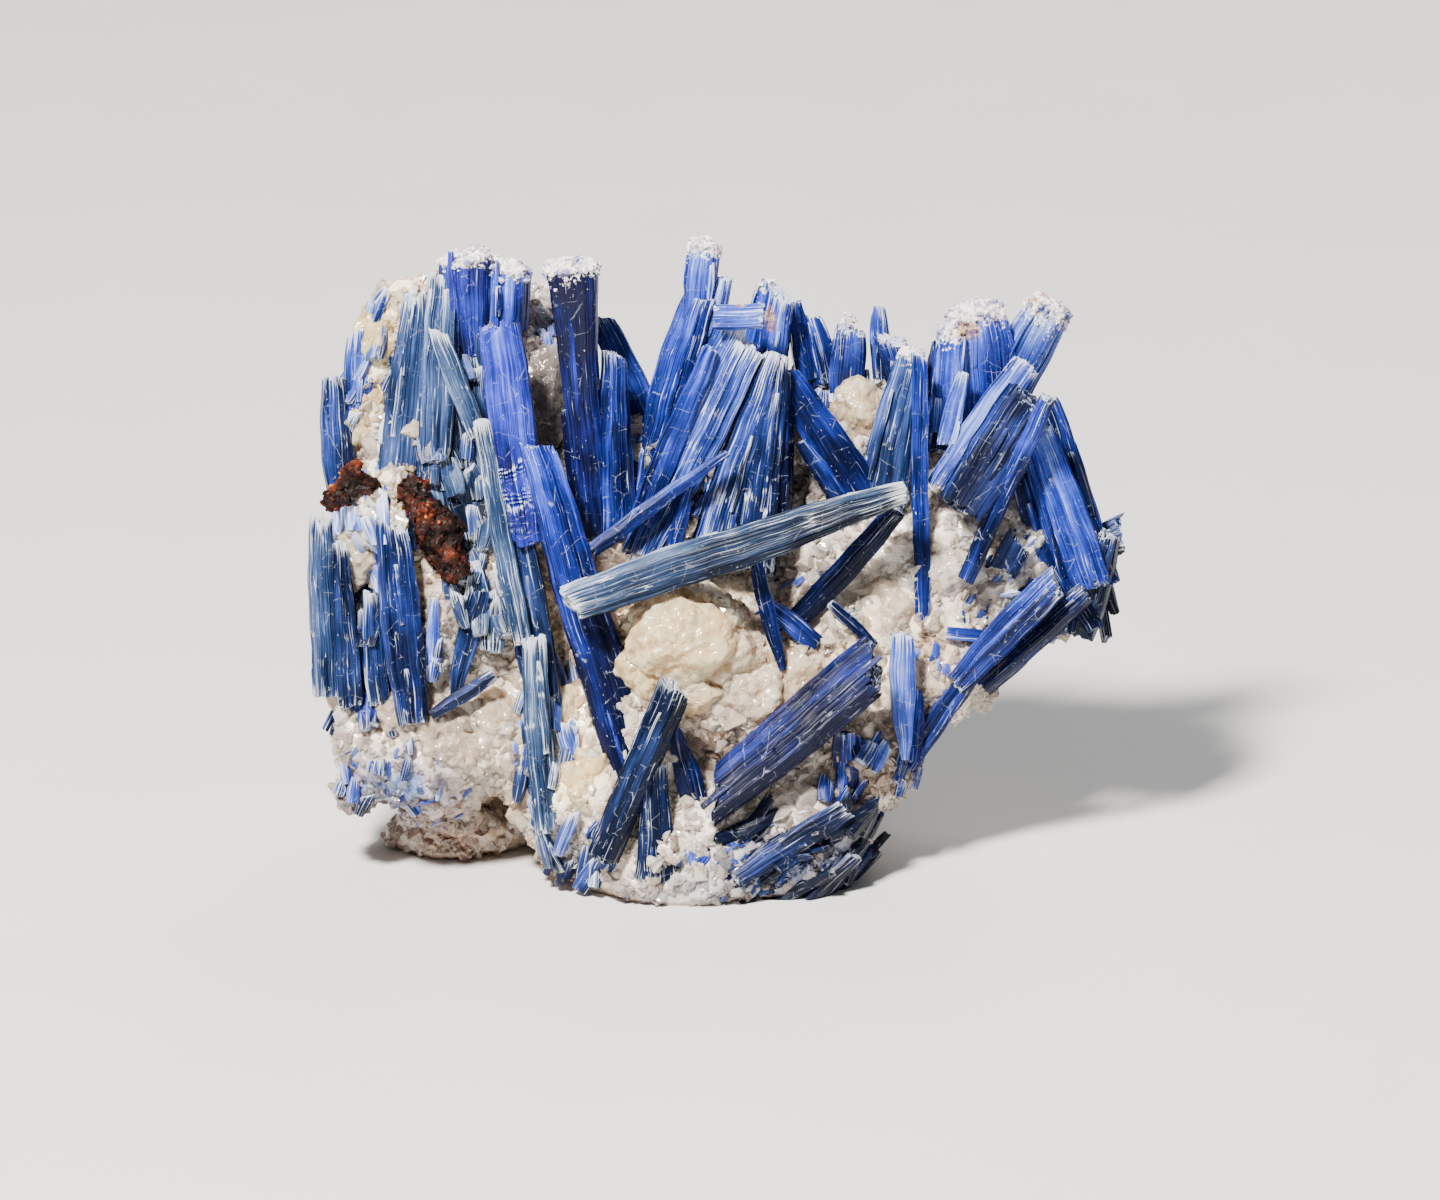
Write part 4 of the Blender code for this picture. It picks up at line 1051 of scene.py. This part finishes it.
def add_blade(heap, node, blade, number, coarse=1.0, caps=CAP_RINGS):
    """One blade: a flattened, grooved prism carried from foot to tip, with a ragged or crusted end at both.

    A point is start + a * along + x * side + y * flat. Length a runs from the foot's broken edge to the
    tip's, and x and y are the section's, scaled by the blade's size at a / length and sunk by its laminae.
    """
    chance = random.Random(node + str(blade.foot))
    corners = CORNERS_STOUT if blade.thickness >= STOUT else CORNERS_THIN
    ridges = np.array([1 + RIDGE * chance.uniform(-1, 1) for _ in range(corners)])
    draw = np.random.default_rng(number + 11)
    start, length, along, side, flat = blade_axes(blade)
    unit_x, unit_y, out_x, out_y, walked = section(corners, ridges, blade.widths[1], blade.thickness,
                                                   STEP_ROUND * coarse)
    rings = max(8, int(length / (STEP_ALONG * coarse * (FOLD_STEP if node in FOLDS else 1))))
    levels = np.linspace(0, 1, rings)
    depth = RELIEF * min(1.0, blade.thickness / 3.5) * (0.55 + blade.wear) / coarse ** 1.5
    sunk, edges, strip, groove = laminae(walked, levels, depth, draw)
    folds = np.zeros_like(sunk)
    if node in FOLDS:
        sunk, folds = folded(sunk, unit_x, levels * length, *FOLDS[node])
    key = draw.uniform(0, 10)

    def with_caps(values):
        return np.concatenate((values[:1].repeat(len(caps), 0), values, values[-1:].repeat(len(caps), 0)))

    sunk, edges, groove, folds = (with_caps(values) for values in (sunk, edges, groove, folds))
    part = with_caps(levels)[:, None]
    share = np.concatenate((caps, np.ones(rings), caps[::-1]))[:, None]
    foot_width, foot_deep = blade_size(blade, 0.0)
    tip_width, tip_deep = blade_size(blade, 1.0)
    short_foot = ragged(unit_x * share * foot_width / 2, unit_y * share * foot_deep / 2, share,
                        foot_width * FOOT_BREAK, blade.ends[0], blade.foot_slant, key)
    short_tip = ragged(unit_x * share * tip_width / 2, unit_y * share * tip_deep / 2, share,
                       tip_width * TIP_BREAK * RAGGED.get(node, 1), blade.ends[1], blade.tip_slant, key + 3)
    travel = short_foot * (1 - part) + (length - short_tip) * part
    width, deep = blade_size(blade, travel / length)
    bow = 0.12 * np.sin(travel * 0.23 + key) + 0.05 * np.sin(travel * 0.9 + key * 2)
    x = (unit_x * width / 2 - out_x * sunk) * share + bow
    y = (unit_y * deep / 2 - out_y * sunk) * share + 0.7 * bow
    points = start + travel[..., None] * along + x[..., None] * side + y[..., None] * flat

    to_foot, to_tip = travel - short_foot, length - short_tip - travel
    round_it = np.where(share < 1, 1.5 * y, walked) + 61.0 * number
    fibre = np.stack((round_it, np.where(share < 1, x, travel), 0 * travel), axis=-1)
    # Painted light and shade: sides that face UPPER_LEFT get a paler tone and more white, sides that face
    # away a darker tone and less white.
    painted_light_from = UPPER_LEFT @ FACE_AXES
    facing = PAINTED_SIDE_LIGHTS.get(node, PAINTED_SIDE_LIGHT) * (out_x * (side @ painted_light_from) + out_y * (flat @ painted_light_from))
    # Tone varies at random from strip to strip, and is darker in the creases of the grooves as painted shade.
    tone = blade.tone + 0.16 * (scramble(strip, strip * 0 + number, strip * 0 + 2) - 0.5) - 0.12 * groove
    tone = tone + SLOPES.get(node, SLOPE) * (travel / length - 0.5) + facing
    worn = 0.1 + 0.3 * scramble(strip, np.full_like(strip, number)) ** 2 + 0.8 * edges
    worn = worn + 0.9 * worn_ends(blade, length, to_foot, to_tip)
    # Pale is wear, broken ends and folds, plus a painted highlight on sides that face UPPER_LEFT and painted
    # shade in the creases of the grooves.
    pale = blade.wear * worn + 0.3 * (share < 1) - 0.18 * groove + 0.9 * folds + 0.6 * blade.wear * facing
    crust = np.zeros_like(travel)
    if blade.ends[1] == "c":
        crust = np.exp(-np.maximum(to_tip, 0) / CRUSTS.get(node, CRUST)) * (part > 0.5)

    def full(values):
        values = np.broadcast_to(values, travel.shape + values.shape[2:])
        return np.concatenate((values.reshape((-1,) + values.shape[2:]), values[[0, -1], 0]))

    quads, fans = tube_faces(*travel.shape)
    poles = points[[0, -1]].mean(axis=1)
    heap.add(np.concatenate((points.reshape(-1, 3), poles)), fans, quads, fibre=full(fibre), tone=full(tone),
             pale=full(pale), crust=full(crust), slate=full(np.full_like(travel, blade.slate)))
    if blade.ends[1] == "c":
        add_beads(heap, node, points, to_tip, part, along, side, draw)


def worn_ends(blade, length, to_foot, to_tip):
    """How worn a blade is by its ends: e^(-distance / 1.2 mm), and a longer fade to a ragged tip."""
    worn = np.exp(-to_tip / 1.2) + 0.7 * np.exp(-to_foot / 1.2)
    if blade.ends[1] == "r":
        worn += 0.4 * np.exp(-to_tip / (0.16 * length + 2))
    return worn


BEAD_SHAPES = grain_shapes(8, 21, (11, 15), (0.75, 1.1))


def add_beads(heap, node, points, to_tip, part, along, side, draw):
    """Beads of crust on a blade's end: rounded grains on its cap, fewer and smaller down its sides.

    They stand on the blade's own points, each as likely as e^(-distance to the tip / 0.9 mm) times its
    share of the ring.
    """
    near = (part > 0.5) * np.exp(-np.clip(to_tip, 0, 99) / 0.9) * np.clip(3.2 - to_tip, 0, 1)
    gap = np.linalg.norm(np.diff(points, axis=1, append=points[:, :1]), axis=2)
    chance = np.cumsum((near * gap).ravel())
    away = points - points[-1].mean(axis=0)
    reach = np.ptp(away[-1 - len(CAP_RINGS)] @ side)
    count = int(BEADS_TO_MM.get(node, BEADS) * reach)
    chosen = np.searchsorted(chance, draw.uniform(0, chance[-1], count))
    down = np.clip(to_tip, 0, 9).ravel()[chosen]
    sizes = draw.uniform(*BEAD_SIZES, count) * (1 - 0.14 * down)
    away = away.reshape(-1, 3)[chosen]
    outward = away - (away @ along)[:, None] * along
    outward /= np.linalg.norm(outward, axis=1)[:, None] + 0.4
    centres = points.reshape(-1, 3)[chosen] + outward * 0.05 - along * (sizes * 0.5)[:, None]
    zero = np.zeros(count)
    add_grains(heap, BEAD_SHAPES, centres, sizes, draw, fibre=np.stack((chosen * 0.37, zero, zero), axis=-1),
               tone=zero + 0.7, pale=zero + 0.8, crust=np.clip(1.05 - 0.16 * down, 0.3, 1), slate=zero + 0.3)


def laths(blade, number):
    """Thin laths split off a blade's front: blades like it, a little proud, that end at other heights."""
    draw = np.random.default_rng(number + 400)
    foot, tip = np.array(blade.foot, float), np.array(blade.tip, float)
    line = (tip - foot) / np.linalg.norm(tip - foot)
    sideways = np.array((line[1], -line[0], 0.0))
    count = int(LATHS * max(blade.widths) / LATHS_ON) if blade.thickness > THIN else 0
    for _ in range(count):
        aside = draw.uniform(-0.36, 0.36)
        start, finish = sorted(draw.uniform(0.0, 0.97, 2))
        if finish - start < LATH_SHORTEST:
            continue
        swing = math.cos(math.radians(blade.turn))
        outward = np.array((0, 0, blade.thickness * draw.uniform(0.36, 0.42)))
        low, high = (sideways * (aside * blade.widths[k] * swing) + outward for k in (0, 2))
        lath_foot, lath_tip = (foot + (tip - foot) * place + low * (1 - place) + high * place
                               for place in (start, finish))
        width = draw.uniform(*LATH_WIDTHS)
        yield Blade(lath_foot, lath_tip, (width * 0.7, width, width * 0.6), draw.uniform(*LATH_DEEP),
                    blade.turn + draw.uniform(-15, 15), blade.tone + draw.uniform(-0.15, 0.2), blade.slate,
                    min(1, blade.wear * 1.2))


def build_blades():
    """One piece for each node: its blades, the laths on them, and beads of crust on their crusted ends."""
    number = 0
    for node, blades in BLADES.items():
        heap = Heap()
        for blade in blades:
            add_blade(heap, node, blade, number)
            for extra, lath in enumerate(laths(blade, number)):
                add_blade(heap, node, lath, number * 10 + extra + 200)
            number += 1
        heap.attributes["ochre"] = [strength(np.concatenate(heap.points), OCHRE)]
        dress(heap.piece(node + "_crystals"), KYANITE, "kyanite", node)


# Rock


def near_grains(points, size, seed, numbers):
    """For each point, the grains near it: one at a scattered place in each cell of a grid of this size.

    Gives, for each of the 27 cells round the point, which way and how far in mm it is from the grain to the
    point, and the grain's other chances: numbers from 0 to 1 of its own.
    """
    cell = np.floor(points / size)
    for shift in np.ndindex(3, 3, 3):
        near = cell + np.array(shift) - 1
        i, j, k = near.T
        chance = [scramble(i, j, k, np.full_like(i, seed + n)) for n in range(numbers + 3)]
        yield points - (near + np.stack(chance[:3], axis=-1)) * size, chance[3:]


def grain_relief(points, size, seed):
    """Height of a surface packed with block-shaped grains, from about 0 to 1.

    At a point p it is the most, over the grains near it, of r - max |(p - s) . e|. A grain at place s has
    three turned directions e and a radius r of its own.
    """
    best = np.full(len(points), -9.0)
    for away, chance in near_grains(points, size, seed, 4):
        away = np.einsum("nij,nj->ni", turned(*chance[:3]), away) / size
        best = np.maximum(best, 0.5 + 0.45 * chance[3] - np.abs(away).max(axis=1))
    return np.clip(best + 0.15, -0.4, 1.2)


def dome_relief(points, size, seed):
    """Height of a surface packed with rounded grains, from about 0 to 1.

    At a point p it is the most, over the grains near it, of 0.7 + 0.3 c - 1.3 |p - s|^2. A grain at place s
    has a chance c of its own.
    """
    best = np.full(len(points), -9.0)
    for away, chance in near_grains(points, size, seed, 1):
        away = away / size
        best = np.maximum(best, 0.7 + 0.3 * chance[0] - 1.3 * (away ** 2).sum(1))
    return np.clip(best, -0.3, 1)


def stains(points, normals):
    """Brown, smoke and blue, from 0 to 1, at each point: its zones, brown below, and smoky behind."""
    front = np.clip(0.4 + 1.2 * (normals @ FACE_PROUD), 0, 1)
    below = np.clip(-normals[:, 2] - 0.25, 0, 1) * np.clip(1.4 - points[:, 2] / 16, 0, 1)
    behind = np.clip(-(normals @ FACE_PROUD), 0, 1)
    brown = np.maximum(strength(points, BROWN, front), np.maximum(1.6 * below, 0.25 * behind))
    smoke = np.maximum(strength(points, SMOKE, front), 0.35 * behind)
    return np.clip(np.stack((brown, smoke, strength(points, BLUE, front)), axis=-1), 0, 1)


def build_rock():
    """The quartz: its solid, evened out, raised by blocks and packed round grains, and flat at its base.

    A point is p + n * (1.5 (blocks - 0.45) + (0.5 - 0.2 massive) (domes - 0.6)), less so near the base.
    Gives the surface's points, normals and quads, and how massive it is.
    """
    points, normals, quads = worn_copy("quartz_matrix", QUARTZ_VOXEL, QUARTZ_SMOOTHING)
    massive = strength(points, SMOOTH, np.clip(0.5 + 1.2 * (normals @ FACE_PROUD), 0, 1))
    blocks, domes = grain_relief(points, 4.2, 1), dome_relief(points, 2.3, 2)
    rise = 1.5 * (blocks - 0.45) + (0.5 - 0.2 * massive) * (domes - 0.6)
    above = np.clip(points[:, 2] / 1.5, 0, 1)
    raised = points + normals * (rise * above)[:, None]
    raised[:, 2] = np.where(points[:, 2] < 0.35, 0.0, np.maximum(raised[:, 2], 0.0))
    raised = keep_in_box(raised)
    # Shade: lighter on the tops of the blocks and grains and darker in the creases between them, as painted
    # shade, with painted light added in the painted-light zones.
    shade = np.clip(0.1 + 0.7 * (0.5 * (blocks + domes)) + 0.5 * strength(raised, PAINTED_LIGHT_ON_QUARTZ), 0, 1)
    looks = {"stains": stains(raised, normals), "shade": shade, "warm": strength(raised, WARM)}
    dress(new_mesh("quartz_rock", raised, [quads], looks, True), QUARTZ, "quartz", "quartz_matrix")
    return raised, normals, quads, massive


def grain_layer(name, material, surface, weights, draw):
    """A piece of grains set in the rock: sizes are size * e^(vary * chance), sunk by a share of them."""
    points, quads = surface
    count, size, vary, sink = GRAINS[name]
    shapes = grain_shapes(24, int(size * 100))
    spots, out = sample(points, quads, weights, count, draw)
    sizes = size * np.exp(vary * np.clip(draw.normal(0, 1, count), -2, 2))
    centres = spots - out * (sizes * sink)[:, None]
    reach = 1.2 * sizes[:, None]
    centres = np.clip(centres, BOX_LOW + reach * (1, 1, 0.3), BOX_HIGH - reach)
    colour = stains(spots, out) * draw.uniform(0.5, 1.2, (count, 1))
    heap = Heap()
    # Each grain's shade is random, with painted light added in the painted-light zones.
    add_grains(heap, shapes, centres, sizes, draw, stains=np.clip(colour, 0, 1),
               shade=np.clip(draw.normal(0.45, 0.27, count) + 0.55 * strength(spots, PAINTED_LIGHT_ON_QUARTZ), 0, 1),
               warm=np.clip(strength(spots, WARM) * draw.uniform(0.3, 1.3, count), 0, 1))
    dress(heap.piece(name), material, "quartz")


def block_reach(ball, draw):
    """How far each direction d of a ball goes to reach the flat faces of a random block.

    With n a face's direction and h its height, it is the sum over the faces of (max(0, d . n) / h)^SHARP,
    to the power of -1 / SHARP.
    """
    faces = unit(draw.normal(size=(BLOCK_FACES, 3)))
    facing = np.clip(ball @ faces.T, 0.01, None) / draw.uniform(0.8, 1.0, BLOCK_FACES)
    return np.minimum((facing ** SHARP).sum(axis=1) ** (-1 / SHARP), 1.15)


def build_boulders(points, normals):
    """Big glassy lumps in the rock: blocks with rounded edges, roughened by small blocks and grains.

    A point is centre + (half sizes * block_reach + rise) * the ball's point. The centre lies under the
    rock's outermost point near its place on the display face, deeper by a share of the lump's own depth.
    """
    place = on_face(points)
    facing = normals @ FACE_PROUD > 0.1
    heap = Heap()
    for number, (spot, half, sunk, warm, bright_and_painted_light, rugged) in enumerate(BOULDERS):
        near = facing & (np.hypot(*(place[:, :2] - spot).T) < 2.5)
        if not near.any():
            continue
        around = int(2 * math.pi * max(half) / BOULDER_STEP)
        ball, quads, fans = closed_ball(around, around // 2)
        draw = np.random.default_rng(number)
        ball = ball + draw.normal(0, 0.3 / around, ball.shape)
        deep = BOULDER_DEEP * min(half)
        centre = at((*spot, np.percentile(place[near, 2], 80) - sunk * deep))
        out = ball @ FACE_AXES
        smooth = centre + (ball * block_reach(ball, draw)[:, None] * (*half, deep)) @ FACE_AXES
        blocks, domes = grain_relief(smooth, 3.4, number), dome_relief(smooth, 2.0, number + 40)
        crumbs = grain_relief(smooth, 1.4, number + 80)
        rise = rugged * (1.3 * (blocks - 0.5) + 0.15 * (domes - 0.6) + 0.8 * (crumbs - 0.4))
        # Shade: lighter on the tops of the blocks, grains and crumbs and darker between them, as painted
        # shade, scaled by the boulder's brightness, which is partly painted light.
        shade = np.clip(bright_and_painted_light * (0.15 + 0.5 * blocks + 0.2 * domes + 0.35 * crumbs), 0, 1)
        heap.add(keep_in_box(smooth + out * rise[:, None]), fans, quads, stains=stains(smooth, out),
                 shade=shade, warm=np.full(len(ball), warm))
    dress(heap.piece("quartz_boulders"), QUARTZ_MILKY, "quartz")


def splinters(heap, spots, normals, lengths, widths, heading, lean, draw, tones):
    """Small six-sided blades lying in the rock.

    Corner k of a ring stands at pi k / 3 on an ellipse. The rings get narrower to the foot and the tip, and
    each end comes to a point a little beyond its ring.
    """
    count, corners = len(spots), 6
    along = np.tile(heading, (count, 1)) + draw.normal(0, lean, (count, 3))
    along -= normals * ((along * normals).sum(1) * 0.8)[:, None]
    along = unit(along)
    side = unit(np.cross(along, normals))
    flat = np.cross(side, along)
    angle = np.arange(corners) * np.pi / 3 + 0.3
    place = np.array([-0.5, -0.1, 0.35, 0.5])
    wide = np.array([0.55, 1.0, 0.85, 0.3])
    x = np.cos(angle)[None, :] * wide[:, None]
    y = 0.45 * np.sin(angle)[None, :] * wide[:, None]
    points = (spots[:, None, None]
              + along[:, None, None] * (place[None, :, None] * lengths[:, None, None])[..., None]
              + side[:, None, None] * (x[None] * widths[:, None, None] / 2)[..., None]
              + flat[:, None, None] * (y[None] * widths[:, None, None] / 2)[..., None])
    beyond = along[:, None] * np.array([-0.03, 0.06])[None, :, None] * lengths[:, None, None]
    poles = points[:, [0, -1]].mean(axis=2) + beyond
    everything = np.concatenate((points.reshape(count, -1, 3), poles), axis=1)
    stride = everything.shape[1]
    travel = np.concatenate((np.repeat(place, corners), [-0.5, 0.5]))[None] * lengths[:, None]
    round_it = np.concatenate((np.tile(np.arange(corners) * 0.5, len(place)), [0, 0]))
    round_it = np.tile(round_it, (count, 1)) + np.arange(count)[:, None] * 3.7
    fibre = np.stack((round_it, travel, np.ones_like(travel)), axis=-1)
    quads, fans = tube_faces(len(place), corners)
    shift = np.arange(count)[:, None, None] * stride
    heap.add(everything.reshape(-1, 3), (fans + shift).reshape(-1, 3), (quads + shift).reshape(-1, 4),
             fibre=fibre.reshape(-1, 3), tone=np.repeat(tones, stride),
             pale=np.repeat(draw.uniform(0, 0.5, count) ** 2, stride), crust=np.zeros(count * stride),
             slate=np.repeat(draw.uniform(0.1, 0.7, count), stride))


# Where small splinters of kyanite lie in the quartz: (across, up), (half width, half height), direction as
# (across, up), how many, their length in mm, and their tone from navy to pale.
SPLINTER_FIELDS = (
    ((-38, 78), (6, 12), (0.1, 1), 40, 3.4, 0.75),
    ((-54, 72), (5, 16), (0, 1), 26, 3.6, 0.7),
    ((-56, 44), (6, 15), (0, 1), 40, 4.0, 0.7),
    ((-47, 18), (9, 6), (0.3, 1), 30, 2.4, 0.75),
    ((-27, 22), (5, 14), (0.05, 1), 26, 3.2, 0.7),
    ((12, 7), (12, 6), (1, 0.55), 70, 3.2, 0.4),
    ((-8, 4), (9, 4), (0.4, 1), 26, 2.6, 0.65),
    ((-12, 62), (6, 9), (0.5, 1), 24, 3.2, 0.65),
    ((2, 60), (9, 8), (0.5, 1), 24, 3.2, 0.55),
    ((12, 46), (8, 5), (0.7, 0.6), 14, 3.0, 0.5),
    ((47, 46), (9, 9), (0.8, 1), 50, 3.2, 0.6),
    ((56, 56), (6, 9), (-0.4, 1), 36, 3.2, 0.5),
    ((34, 42), (7, 10), (0.5, 1), 18, 2.4, 0.7),
    ((20, 78), (12, 7), (0, 1), 24, 3.0, 0.6),
)

# Where broken plates of kyanite lie on the quartz: (across, up), (half width, half height), direction as
# (across, up), how many, their length and width in mm, tone, slate and wear.
PLATE_FIELDS = {
    "plates_left": (
        ((-40, 70), (6, 13), (-0.15, 1), 44, 9.0, 4.2, 0.5, 1.0, 0.5),
        ((-36, 54), (5, 12), (-0.1, 1), 36, 8.0, 3.2, 0.45, 1.0, 0.6),
        ((-52, 82), (5, 10), (0.2, 1), 14, 6.0, 2.8, 0.66, 0.6, 0.7),
        ((-56, 42), (6, 12), (0, 1), 40, 11.0, 2.8, 0.45, 0.3, 0.5),
        ((-53.5, 54), (4, 5), (-0.1, 1), 20, 8.0, 2.4, 0.95, 0.4, 0.9),
        ((-46, 36), (4, 8), (-0.1, 1), 8, 5.0, 2.0, 0.5, 0.3, 0.5),
        ((-50, 20), (7, 5), (0.3, 1), 10, 4.0, 2.2, 0.5, 0.6, 0.5),
    ),
    "plates_middle": (
        ((-26, 24), (4, 16), (0.05, 1), 24, 7.0, 2.4, 0.55, 0.7, 0.6),
        ((-22, 8), (6, 5), (0.5, 1), 12, 5.5, 2.2, 0.45, 0.6, 0.5),
        # Painted shade: these plates are darkened to near navy where shade falls at the bottom right.
        ((12, 8), (12, 6), (1, 0.6), 52, 9.0, 2.2, 0.06, 0.7, 0.2),
        ((-10, 60), (7, 7), (0.4, 1), 14, 6.0, 2.0, 0.6, 0.2, 0.5),
        ((4, 57), (6, 6), (0.3, 1), 12, 6.0, 2.0, 0.45, 0.1, 0.4),
        ((-22, 88), (5, 4), (0, 1), 6, 4.0, 2.4, 0.6, 0.2, 0.5),
    ),
    "plates_right": (
        ((20, 80), (12, 6), (0, 1), 20, 5.5, 2.6, 0.5, 0.25, 0.6),
        ((36, 80), (5, 7), (0.1, 1), 14, 6.0, 2.4, 0.7, 0.2, 0.6),
        ((52, 45), (6, 5), (0.4, 1), 12, 5.0, 2.0, 0.3, 0.3, 0.3),
        ((56.5, 54), (4, 9), (-0.35, 1), 12, 11.0, 3.4, 0.22, 0.3, 0.25),
        ((28, 18), (6, 8), (0.6, 1), 16, 5.0, 2.2, 0.5, 0.4, 0.5),
        ((18, 20), (4, 5), (0.1, 1), 10, 6.0, 2.4, 0.3, 0.2, 0.3),
    ),
}


def build_quartz():
    """The rock, the grains and boulders in its surface, and kyanite splinters and plates between them."""
    points, normals, quads, massive = build_rock()
    draw = np.random.default_rng(3)
    weights = np.clip(0.5 + 1.5 * (normals @ FACE_PROUD), 0.15, 1) * np.clip(points[:, 2] / 2, 0, 1)
    loose = weights * (1.05 - massive)
    surface = points, quads
    grain_layer("quartz_lumps", QUARTZ_MILKY, surface, weights, draw)
    grain_layer("quartz_sugar", QUARTZ_MILKY, surface, loose, draw)
    grain_layer("quartz_beads", QUARTZ_CLEAR, surface, loose, draw)
    grain_layer("quartz_grains", QUARTZ_MILKY, surface, loose, draw)
    build_boulders(points, normals)
    facing = np.clip(normals @ FACE_PROUD + 0.3, 0, 1)
    build_splinters(surface, facing, draw)
    build_plates(surface, facing)


def build_splinters(surface, facing, draw):
    """Small splinters of kyanite in the quartz, those of a field lying roughly in one direction."""
    points, quads = surface
    heap = Heap()
    for middle, half, (across, up), count, length, tone in SPLINTER_FIELDS:
        weights = in_field(points, middle, half) * facing
        if weights.max() == 0:
            continue
        spots, out = sample(points, quads, weights, count, draw)
        heading = unit(across * FACE_ACROSS + up * FACE_UP)
        lengths = length * draw.uniform(0.5, 1.4, count)
        widths = draw.uniform(0.5, 1.5, count) * (0.6 + length / 8)
        tones = np.clip(draw.normal(tone, 0.15, count), 0.05, 1)
        spots = keep_in_box(spots + out * 0.15, 2.0)
        spots[:, 2] = np.maximum(spots[:, 2], lengths * 0.62)
        splinters(heap, spots, out, lengths, widths, heading, 0.22, draw, tones)
    dress(heap.piece("kyanite_splinters"), KYANITE, "kyanite")


def build_plates(surface, facing):
    """Broken plates of kyanite: small blades that lie along the quartz, each turned to face out."""
    points, quads = surface
    number = PLATE_SEED
    for name, fields in PLATE_FIELDS.items():
        heap = Heap()
        draw = np.random.default_rng(number)
        for middle, half, (across, up), count, length, width, tone, slate, wear in fields:
            spots, out = sample(points, quads, in_field(points, middle, half) * facing, count, draw)
            spots = keep_in_box(spots + out * 0.7, 0.5 * length)
            for spot, outward in zip(spots, out):
                number += 1
                heading = unit(across * FACE_ACROSS + up * FACE_UP) + draw.normal(0, 0.17, 3)
                heading = unit(heading - 0.85 * outward * (heading @ outward))
                reach = length * draw.uniform(0.6, 1.3)
                wide = width * draw.uniform(0.6, 1.3)
                flat = unit(FACE_PROUD - heading * (FACE_PROUD @ heading))
                turn = math.degrees(math.atan2(outward @ np.cross(heading, flat), outward @ flat))
                foot, tip = (on_face(spot + heading * reach * share) for share in (-0.5, 0.5))
                widths = (wide * draw.uniform(0.5, 1), wide, wide * draw.uniform(0.3, 0.9))
                plate = Blade(foot, tip, widths, draw.uniform(*PLATE_DEEP), turn,
                              tone + draw.normal(0, 0.12), slate * draw.uniform(0.6, 1.2),
                              wear * draw.uniform(0.6, 1.3), tip_slant=draw.uniform(-2, 2))
                add_blade(heap, name, plate, number, PLATE_COARSE, PLATE_CAPS)
        dress(heap.piece(name), KYANITE, "kyanite")


def build_rust():
    """The iron oxide: each solid evened out and packed with grains, with loose crumbs over it.

    A point is p + n * relief, where the relief adds up blocks of 3.4, 1.9 and 1.1 mm.
    """
    draw = np.random.default_rng(8)
    shapes = grain_shapes(12, 9)
    for node in ("rust_mass_large", "rust_mass_small"):
        points, normals, quads = worn_copy(node, RUST_VOXEL, RUST_SMOOTHING)
        relief = 2.0 * (grain_relief(points, 3.4, 7) - 0.95)
        relief += 1.1 * (grain_relief(points, 1.9, 5) - 0.4) + 0.5 * (grain_relief(points, 1.1, 6) - 0.4)
        points = points + normals * relief[:, None]
        heap = Heap()
        heap.add(points, None, quads, shade=np.clip(0.55 + 0.35 * relief, 0, 1))
        count = len(quads) // CRUMBS
        spots, _ = sample(points, quads, np.ones(len(points)), count, draw)
        sizes = draw.uniform(*CRUMB_SIZES, count)
        add_grains(heap, shapes, spots, sizes, draw, shade=draw.uniform(0, 1, count) ** 1.3)
        dress(heap.piece(node + "_crumbs"), IRON, "iron_oxide", node)


def build_stage():
    """A pale floor, soft light from above left, and a long lens square to the display face."""
    corners = FLOOR_HALF * np.array(((-1, -1, 0), (1, -1, 0), (1, 1, 0), (-1, 1, 0.0)))
    floor = new_mesh("floor", corners, [np.array(((0, 1, 2, 3),))], {})
    floor.data.materials.append(floor_material())
    scene = bpy.context.scene
    world = bpy.data.worlds.new("studio")
    world.use_nodes = True
    sky = world.node_tree.nodes["Background"]
    sky.inputs["Color"].default_value = SKY
    sky.inputs["Strength"].default_value = SKY_STRENGTH
    scene.world = world
    for name, place, size, power, colour in LAMPS:
        light = bpy.data.lights.new(name, "AREA")
        light.size = size
        light.energy = power
        light.color = colour
        lamp = bpy.data.objects.new(name, light)
        lamp.location = place
        lamp.rotation_euler = (Vector(LAMPS_AIM) - lamp.location).to_track_quat("-Z", "Y").to_euler()
        scene.collection.objects.link(lamp)
    lens = bpy.data.cameras.new("camera")
    lens.sensor_width = SENSOR_WIDTH
    lens.lens = SENSOR_WIDTH * CAMERA_FAR / VIEW_WIDTH
    lens.clip_end = 50
    camera = bpy.data.objects.new("camera", lens)
    camera.location = at((0, VIEW_UP, 0)) * MM + FACE_PROUD * CAMERA_FAR
    camera.rotation_euler = Vector(-FACE_PROUD).to_track_quat("-Z", "Y").to_euler()
    scene.collection.objects.link(camera)
    scene.camera = camera


build_blades()
build_quartz()
build_rust()
build_stage()
